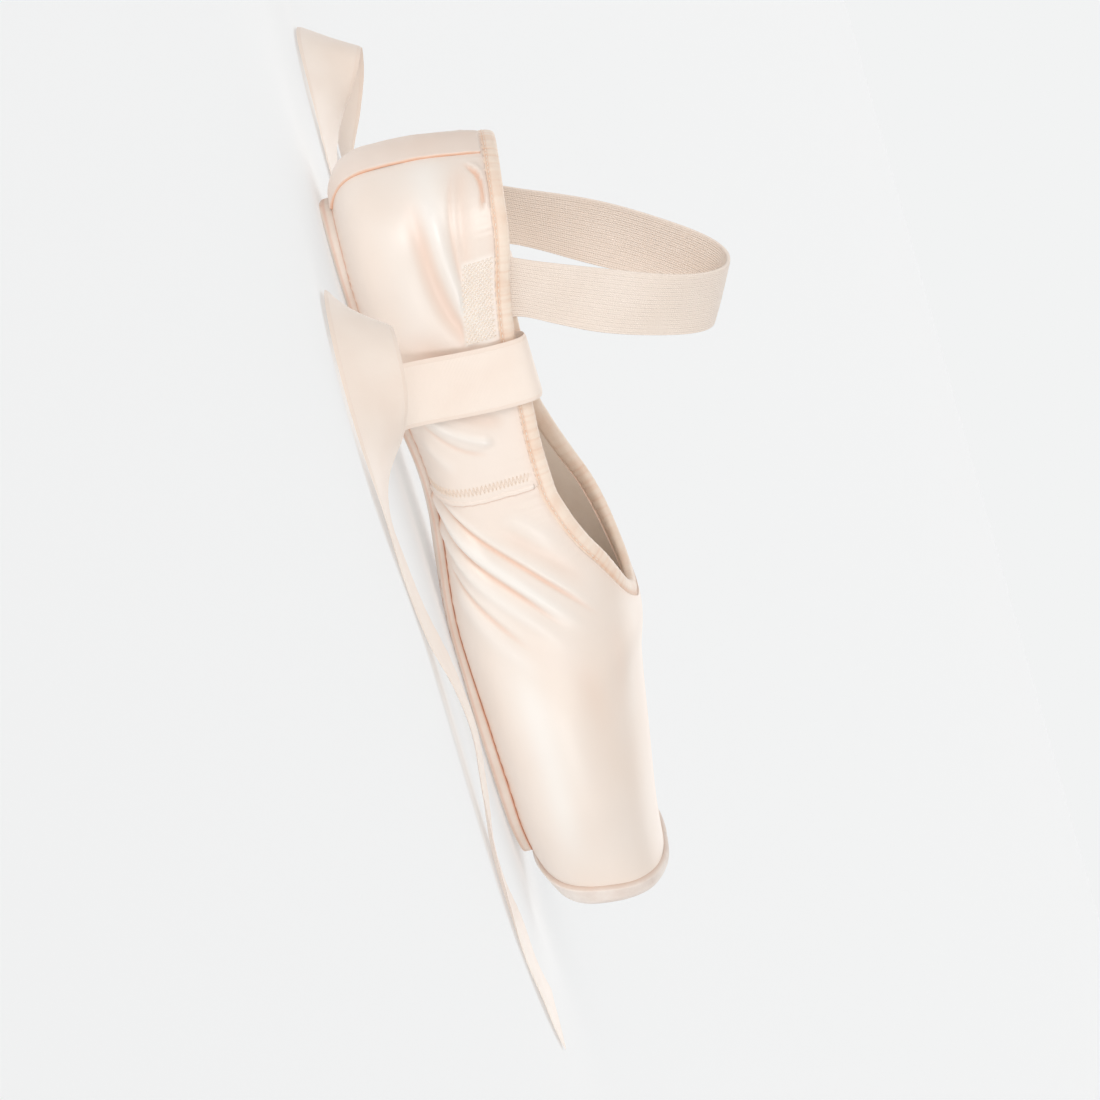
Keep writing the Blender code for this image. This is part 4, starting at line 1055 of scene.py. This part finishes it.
def buildInsole():
    lines = []
    for x in soleStations(soleHeelEnd - insole["margin"], soleTip - sole["corner"], insole["step"]):
        half = soleHalf(x, insole["margin"])
        lift = insole["lift"] * min(2.0 * half / sole["heelWidth"], 1.0)
        line = []
        for share in np.linspace(0.0, 1.0, insole["across"]).tolist():
            y = -half * share
            soft = 0.00008 * sin(x * 210.0 + y * 90.0) * sin(y * 260.0 + 1.0)
            rounded = insole["thick"] * edgeRound(1.0 - half * (1.0 - share) / insole["round"])
            z = heightUnder(x, y, wallAt(x)) + gap + lift * share**2 + rounded + soft
            line.append(((x, y, z),))
        lines.append(line)
    pieceFromLines("insoleCotton", "insole", "insole", cottonMaterial, [(lines, True)])


buildInsole()
print("sole and insole built")

# the gathered casing round the collar
binding = {
    "face": paint(250, 232, 215), "shade": paint(232, 186, 154), "sides": 20, "step": 0.00055,
    "squareness": 2.6, "gather": 0.00030, "lap": 0.0005, "seamDeep": 0.00022, "near": 0.026, "nearCount": 100,
    "stitchStep": 0.0018, "stitchThick": 0.00026, "stitchShare": 0.62, "shortest": 0.0008,
}


def makeBinding():
    look = {"specular": 0.4, "sheen": 0.3, "coat": 0.08, "coatRough": 0.35}
    finish = Finish("gatheredBinding", binding["face"], 0.55, **look)
    base = finish.cloud(binding["face"], binding["shade"], 160.0, 3.0, 0.4, 0.75, 0.35)
    colour = finish.blend(finish.attribute("foldShade"), base, binding["shade"])
    return finish.done(colour, finish.bump(finish.noise(2600.0, 2.0), 0.00012, 0.4))


def edgeMiddle(rib):
    return Vector(place(rib, collarAngle(rib), wallAt(rib[0]) / 2))


def collarFrames(step):
    # middle of the cut edge, way out of the wall, way on past the edge, at even places round the collar
    places = evenPlaces(heelBack, heelCentre, step, False)
    places += evenPlaces(heelCentre, throat - binding["near"], step, False)
    ribs = [ribAlong(x) for x in places + throatPlaces(binding["near"], binding["nearCount"])]
    middles = [edgeMiddle(rib) for rib in ribs]
    runs = [after - before for before, after in zip(middles, middles[2:])]
    runs = [Vector((0.0, -1.0, 0.0)), *(run.normalized() for run in runs), Vector((0.0, 1.0, 0.0))]
    frames = []
    for rib, middle, run in zip(ribs, middles, runs):
        onward = outwardAt(rib, collarAngle(rib)).cross(run).normalized()
        frames.append((middle, run.cross(onward).normalized(), onward))
    return frames


def buildBinding():
    frames = collarFrames(binding["step"])
    lines = []
    run = 0.0
    for k, (middle, outward, onward) in enumerate(frames):
        if k:
            run += (middle - frames[k - 1][0]).length
        centre = middle + onward * (bindingWidth / 2 - binding["lap"])
        tuck = sin(run * 2300.0 + 2.0 * sin(run * 350.0)) * 0.6 + sin(run * 4100.0 + 1.0) * 0.4
        tuck *= 0.55 + 0.45 * sin(run * 130.0 + 1.3)
        line = []
        for j in range(binding["sides"] + 1):
            turn = math.tau * (j % binding["sides"] + 0.5) / binding["sides"]
            side, rise = squared(turn, binding["squareness"])
            below = -sin(turn)
            gather = binding["gather"] * tuck * (0.35 + 0.65 * max(below, 0.0))
            seam = math.exp(-(((rise + 0.45) / 0.16) ** 2)) if side > 0 else 0.0
            reach = side * (bindingThick / 2 + gather) - math.copysign(binding["seamDeep"] * seam, side)
            point = centre + outward * reach + onward * (rise * (bindingWidth / 2 + gather * 0.4))
            if k in (0, len(frames) - 1):
                point.y = 0.0
            shade = min(max(-tuck * 0.35, 0.0) + 0.6 * seam + 0.25 * max(below - 0.6, 0.0), 1.0)
            line.append((point, shade))
        lines.append(line)
    names = ("collarBindingTape", "collar_binding", "binding")
    pieceFromLines(*names, makeBinding(), [(lines, True)], ["foldShade"])


def bindingRow():
    # small stitches in the binding's lower channel
    frames = collarFrames(binding["stitchStep"])
    found = []
    for (middle, outward, onward), (after, _, _) in zip(frames, frames[1:]):
        level = onward * (bindingWidth * 0.275 - binding["lap"]) + outward * (bindingThick * 0.47)
        if (after - middle).length >= binding["shortest"]:
            found.append((middle + level, middle.lerp(after, binding["stitchShare"]) + level, outward))
    return found


buildBinding()
stitchMesh("bindingStitches", onBothSides(bindingRow()), binding["stitchThick"], "binding")
print("binding built")

elastic = {
    "width": 0.020, "thick": 0.0010, "rise": 0.064, "tilt": math.radians(62.0), "roundness": 2.3,
    "clear": 0.0012, "tuck": 0.016, "face": paint(252, 238, 226), "shade": paint(246, 229, 214), "ribs": 15,
    "ribHeight": 0.10, "step": 0.0012, "across": 61,
}
ribbon = {
    "width": 0.020, "thick": 0.0006, "face": paint(252, 238, 226), "shade": paint(243, 221, 205),
    "step": 1.6, "across": 17, "selvedge": (8.6, 8.8),  # mm
}


def makeElastic():
    finish = Finish("ribbedElastic", elastic["face"], 0.72, specular=0.3, sheen=0.35, sheenRough=0.5)
    along, across = finish.split(finish.attribute("cloth", "Vector"))
    picks = finish.maths("SINE", finish.times(along, 9.0))
    ribTurn = math.tau * elastic["ribs"] * 2 / (elastic["width"] * mmPerMetre)
    ribs = finish.maths("SINE", finish.times(across, ribTurn))
    base = finish.cloud(elastic["face"], elastic["shade"], 70.0, 2.0, 0.35, 0.75, 0.5)
    colour = finish.blend(finish.spread(ribs, -1.0, 0.2, 0.35, 0.0), base, elastic["shade"])
    knit = finish.maths("ADD", finish.times(picks, 0.35), ribs)
    return finish.done(colour, finish.bump(knit, 0.00016, 0.5))


def makeRibbon():
    finish = Finish("satinRibbon", ribbon["face"], 0.42, specular=0.45, sheen=0.3, coat=0.10, coatRough=0.35)
    along, across = finish.split(finish.attribute("cloth", "Vector"))
    picks = finish.maths("SINE", finish.times(along, 16.0))
    selvedge = finish.spread(finish.maths("ABSOLUTE", across), *ribbon["selvedge"])
    base = finish.cloud(ribbon["face"], ribbon["shade"], 55.0, 2.0, 0.35, 0.75, 0.5)
    colour = finish.blend(finish.times(selvedge, 0.35), base, ribbon["shade"])
    relief = finish.maths("ADD", finish.times(picks, 0.3), finish.times(selvedge, 2.0))
    return finish.done(colour, finish.bump(relief, 0.00010, 0.35))


def buildBand(name, node, slotName, middles, sides, piece, material, ripple, ribHeight=0.0):
    # a closed flat band with rounded edges and, where asked, fine ribs along it
    width, count = piece["width"], piece["across"]
    around = [*np.linspace(-0.5, 0.5, count).tolist(), *np.linspace(0.5, -0.5, count).tolist()]
    lines = []
    run = 0.0
    for k, (middle, side) in enumerate(zip(middles, sides)):
        if k:
            run += (middle - middles[k - 1]).length
        way = middles[min(k + 1, len(middles) - 1)] - middles[max(k - 1, 0)]
        outward = way.normalized().cross(side).normalized()
        line = []
        for j, share in enumerate(around):
            half = piece["thick"] / 2 * (1.0 if j < count else -1.0)
            ribs = 1.0 + ribHeight * cos(math.tau * elastic["ribs"] * (share + 0.5))
            high = half * edgeRound((abs(share) - 0.485) / 0.015) * ribs + ripple(run, share)
            point = middle + side * (width * share) + outward * high
            line.append((point, (run * mmPerMetre, width * share * mmPerMetre, 0.0)))
        lines.append([*line, line[0]])
    parts = [(lines, False)]
    for line, flipped in ((lines[0], True), (lines[-1], False)):
        cap = [(point, (0.0, 0.0, 0.0)) for point, _ in line]
        parts.append(([cap[:count], cap[count:2 * count][::-1]], flipped))
    obj = pieceFromLines(name, node, slotName, material, parts, ["cloth"], [1])
    obj.data.set_sharp_from_angle(angle=math.radians(35.0))
    return obj


def buildElastic():
    spacing = (throat - binding["near"] - heelCentre) / 11
    ribs = [straightRib(heelCentre + spacing * k) for k in range(3)]
    edge = [edgeMiddle(rib) for rib in ribs]
    run = (edge[2] - edge[0]).normalized()
    onward = outwardAt(ribs[1], collarAngle(ribs[1])).cross(run).normalized()
    outward = run.cross(onward).normalized()
    # from inside the quarter past the binding, and up the arch to its middle
    inside = edge[1] - outward * (bindingThick / 2 + elastic["thick"] / 2 + elastic["clear"])
    half = [inside + onward * (elastic["tuck"] * share) for share in (-1.0, -0.7, -0.4, -0.1)]
    foot = inside + onward * (bindingWidth + gap)
    half.append(foot)
    lean = Vector((cos(elastic["tilt"]), 0.0, sin(elastic["tilt"])))
    for turn in (up * k / 10 for k in range(1, 11)):
        side, rise = squared(turn, elastic["roundness"])
        half.append(Vector((foot.x, foot.y * side, foot.z)) + lean * (elastic["rise"] * rise))
    half[-1].y = 0.0
    route = half + [point * flip for point in reversed(half[:-1])]
    middles = [Vector(point) for point in evenCurve([tuple(point) for point in route], elastic["step"])]
    across = Vector((lean.z, 0.0, -lean.x))
    sides = []
    for point in middles:
        share = ease((point.z - foot.z) / (elastic["rise"] / 2))
        sides.append((Vector((1.0, 0.0, 0.0)) * (1.0 - share) + across * share).normalized())

    def ripple(run, share):
        soft = 0.00035 * sin(run * 70.0 + 0.8) + 0.00022 * sin(run * 180.0 + share * 3.0)
        return soft * min(1.0, max(run - 0.022, 0.0) / 0.02) * min(1.0, max(0.20 - run, 0.0) / 0.02)

    names = ("ribbedStrap", "elastic_strap", "elastic")
    buildBand(*names, middles, sides, elastic, makeElastic(), ripple, elastic["ribHeight"])


buildElastic()
print("elastic built")

# ribbons, from the seam inside the quarter over the collar to one loose turn on the floor:
# x, y, z in mm and the bank in degrees
outerRoute = [
    (-58, -24, 30, 0), (-58, -23.8, 37, 0), (-58, -23.8, 43, 0), (-58, -24.5, 45.5, 0), (-58, -26.8, 46.8, 0),
    (-58.1, -29.2, 45.5, 0), (-58.3, -30.3, 41.5, 0), (-58.8, -31, 34, 0), (-59.6, -31.4, 26, 0),
    (-60.6, -31.8, 18, 0), (-62, -33.4, 10.5, 0), (-64, -37.8, 4, 0), (-67, -45, 1.2, 0), (-71, -54, 0.6, 0),
    (-78, -64, 0.6, 0), (-90, -73, 0.6, 0), (-105, -79.5, 2.4, 10), (-118.5, -88, 6, 33), (-125, -100, 8.5, 52),
    (-121, -113, 9, 56), (-109, -122, 8.2, 48), (-93.5, -124.5, 5.6, 30), (-77, -121, 2.2, 9),
    (-60, -114, 0.6, 0), (-43, -107, 0.6, 0), (-26, -102.5, 1.4, 0), (-9, -102, 4, 0), (8, -105, 5.2, 0),
    (25, -110, 3, 0), (42, -113, 0.8, 0), (59, -112, 0.6, 0), (75, -106, 0.6, 0), (90, -98, 0.6, 0),
    (104, -89, 0.6, 0), (117, -79, 0.6, 0), (129, -68, 0.6, 0),
]
innerRoute = [
    (-58, 24, 30, 0), (-58, 23.8, 37, 0), (-58, 23.8, 43, 0), (-58, 24.5, 45.5, 0), (-58, 26.8, 46.8, 0),
    (-57.9, 29.2, 45.5, 0), (-57.7, 30.3, 41.5, 0), (-57.4, 31, 34, 0), (-57, 31.4, 26, 0),
    (-56.6, 31.9, 18, 0), (-56.2, 33.6, 10.5, 0), (-56, 38.2, 4, 0), (-56.4, 46, 1.2, 0), (-58, 56, 0.6, 0),
    (-63, 68, 0.6, 0), (-73, 79, 0.6, 0), (-87, 87, 2, -9), (-100, 96, 5.6, -30), (-106.5, 108, 8.4, -51),
    (-103, 121, 9, -56), (-91, 130, 8, -47), (-75.5, 132.5, 5.2, -28), (-59, 129, 2, -8), (-42, 122, 0.6, 0),
    (-25, 114.5, 0.6, 0), (-8, 108, 2.2, 0), (9, 104, 5, 0), (26, 103, 4.4, 0), (43, 106, 1.6, 0),
    (60, 111, 0.6, 0), (77, 114, 0.6, 0), (94, 112, 0.6, 0), (109, 105, 0.6, 0), (122, 95, 0.6, 0),
    (133, 83, 0.6, 0),
]
ribbonMaterial = makeRibbon()


def buildRibbon(name, node, route):
    placed = evenCurve(route, ribbon["step"])
    middles = [Vector(row[:3]) / mmPerMetre for row in placed]
    side = upright.cross(Vector((0.0, route[0][1], 0.0))).normalized()
    sides = []
    for k, row in enumerate(placed):
        run = (middles[min(k + 1, len(middles) - 1)] - middles[max(k - 1, 0)]).normalized()
        side = (side - run * side.dot(run)).normalized()
        level = upright.cross(run)
        side = side.lerp(level, ease((level.length - 0.4) / 0.4)).normalized()
        bank = math.radians(row[3])
        sides.append(side * cos(bank) + run.cross(side) * sin(bank))

    def ripple(run, share):
        # the edges lift a little off the floor here and there
        lift = 0.5 + 0.5 * sin(run * 95.0 + (2.0 if share > 0 else 0.0))
        lift *= 0.5 + 0.5 * sin(run * 37.0 + 1.0)
        worn = 0.00012 * sin(run * 520.0 + share * 5.0) * sin(run * 61.0)
        return (0.0013 * lift * (2.0 * abs(share)) ** 2.2 + abs(worn)) * ease((run - 0.07) / 0.04)

    obj = buildBand(name, node, "ribbon", middles, sides, ribbon, ribbonMaterial, ripple)
    length = sum((after - middle).length for middle, after in zip(middles, middles[1:]))
    tuple(middles[0])
    [tuple(point) for point in middles]
    print(name, "length", round(length, 4))


buildRibbon("ribbonOuterSatin", "ribbon_outer", outerRoute)
buildRibbon("ribbonInnerSatin", "ribbon_inner", innerRoute)

# the sewn square that holds a ribbon inside the quarter
ribbonSew = {
    "corners": [(-0.0665, 0.0312), (-0.0495, 0.0312), (-0.0495, 0.0405), (-0.0665, 0.0405)],
    "fromMiddle": 0.0238, "pitch": 0.0021, "length": 0.66, "proud": 0.0004, "thick": 0.0003,
}


def ribbonStitches():
    found = []
    corners = ribbonSew["corners"]
    for facing in (1.0, -1.0):
        for (x, z), (nextX, nextZ) in zip(corners, corners[1:] + corners[:1]):
            count = max(1, round(math.hypot(nextX - x, nextZ - z) / ribbonSew["pitch"]))
            for part in range(count):
                ends = []
                for share in (part / count, (part + ribbonSew["length"]) / count):
                    height = z + (nextZ - z) * share
                    depth = ribbonSew["fromMiddle"] + 0.0002 * (0.037 - height) / 0.007 - ribbonSew["proud"]
                    ends.append(Vector((x + (nextX - x) * share, -facing * depth, height)))
                found.append((*ends, Vector((0.0, facing, 0.0))))
    return found


stitchMesh("ribbonStitches", ribbonStitches(), ribbonSew["thick"], "ribbon")
print("ribbons built")

studio = {
    "floorSize": 60.0, "floorColour": (0.61, 0.62, 0.63, 1.0), "floorGlow": 0.382,
    "backdrop": paint(242, 243, 243), "worldLight": 0.42, "worldColour": (1.0, 0.985, 0.965, 1.0),
    "toCamera": (-0.48, -0.875, 0.052), "target": (0.000, -0.030, 0.036), "distance": 2.6, "frameWidth": 0.315,
    "lean": math.radians(17.0),  # how far the heel end stands to the left of straight up
    # name, where it comes from, spread in degrees, strength, colour
    "lights": [
        ("keyLight", (-1.3, -1.5, 0.60), 34.0, 1.13, (1.0, 0.998, 0.995)),
        ("boxLight", (0.95, -1.8, 0.30), 34.0, 0.60, (1.0, 0.995, 0.99)),
        ("topLight", (0.3, 1.2, 2.2), 50.0, 0.66, (1.0, 0.995, 0.99)),
        ("innerLight", (0.9, 1.7, 1.0), 50.0, 0.60, (1.0, 0.995, 0.99)),
    ],
}


def buildFloor():
    half = studio["floorSize"] / 2
    finish = Finish(
        "paleFloor", studio["floorColour"], 0.75, specular=0.1, glow=studio["floorGlow"],
        glowColour=studio["backdrop"],
    )
    corners = [(-half, -half, 0.0), (half, -half, 0.0), (half, half, 0.0), (-half, half, 0.0)]
    addMesh("studioFloor", corners, [(0, 1, 2, 3)], finish.material)


def buildWorld():
    # the camera sees the backdrop's colour, the shoe is lit by a softer one
    world = bpy.data.worlds.new("studioWorld")
    scene.world = world
    world.use_nodes = True
    nodes, links = world.node_tree.nodes, world.node_tree.links
    nodes.clear()
    mix = nodes.new("ShaderNodeMixShader")
    links.new(nodes.new("ShaderNodeLightPath").outputs["Is Camera Ray"], mix.inputs[0])
    looks = ((studio["worldColour"], studio["worldLight"]), (studio["backdrop"], 1.0))
    for k, (colour, strength) in enumerate(looks):
        background = nodes.new("ShaderNodeBackground")
        background.inputs["Color"].default_value = colour
        background.inputs["Strength"].default_value = strength
        links.new(background.outputs[0], mix.inputs[k + 1])
    links.new(mix.outputs[0], nodes.new("ShaderNodeOutputWorld").inputs[0])


def addSoftSun(name, comesFrom, spread, strength, colour):
    lamp = bpy.data.lights.new(name, "SUN")
    lamp.angle = math.radians(spread)
    lamp.energy = strength
    lamp.color = colour
    obj = bpy.data.objects.new(name, lamp)
    obj.location = comesFrom
    obj.rotation_euler = (-Vector(comesFrom)).to_track_quat("-Z", "Y").to_euler()
    scene.collection.objects.link(obj)


def buildCamera():
    toCamera = Vector(studio["toCamera"]).normalized()
    heelward = Vector((-1.0, 0.0, 0.0))
    heelward = (heelward - toCamera * heelward.dot(toCamera)).normalized()
    beside = heelward.cross(toCamera)
    imageUp = heelward * cos(studio["lean"]) + beside * sin(studio["lean"])
    camera = bpy.data.cameras.new("photoCamera")
    camera.sensor_width = 36.0
    camera.sensor_fit = "HORIZONTAL"
    camera.lens = camera.sensor_width * studio["distance"] / studio["frameWidth"]
    camera.clip_end = 50.0
    obj = bpy.data.objects.new("photoCamera", camera)
    spot = Vector(studio["target"]) + toCamera * studio["distance"]
    matrix = obj.matrix_world.copy()
    for column, axis in enumerate((imageUp.cross(toCamera), imageUp, toCamera, spot)):
        for row in range(3):
            matrix[row][column] = axis[row]
    obj.matrix_world = matrix
    scene.collection.objects.link(obj)
    scene.camera = obj


buildFloor()
buildWorld()
for light in studio["lights"]:
    addSoftSun(*light)
buildCamera()
scene.view_settings.view_transform = "Standard"
print("floor, light and camera set")
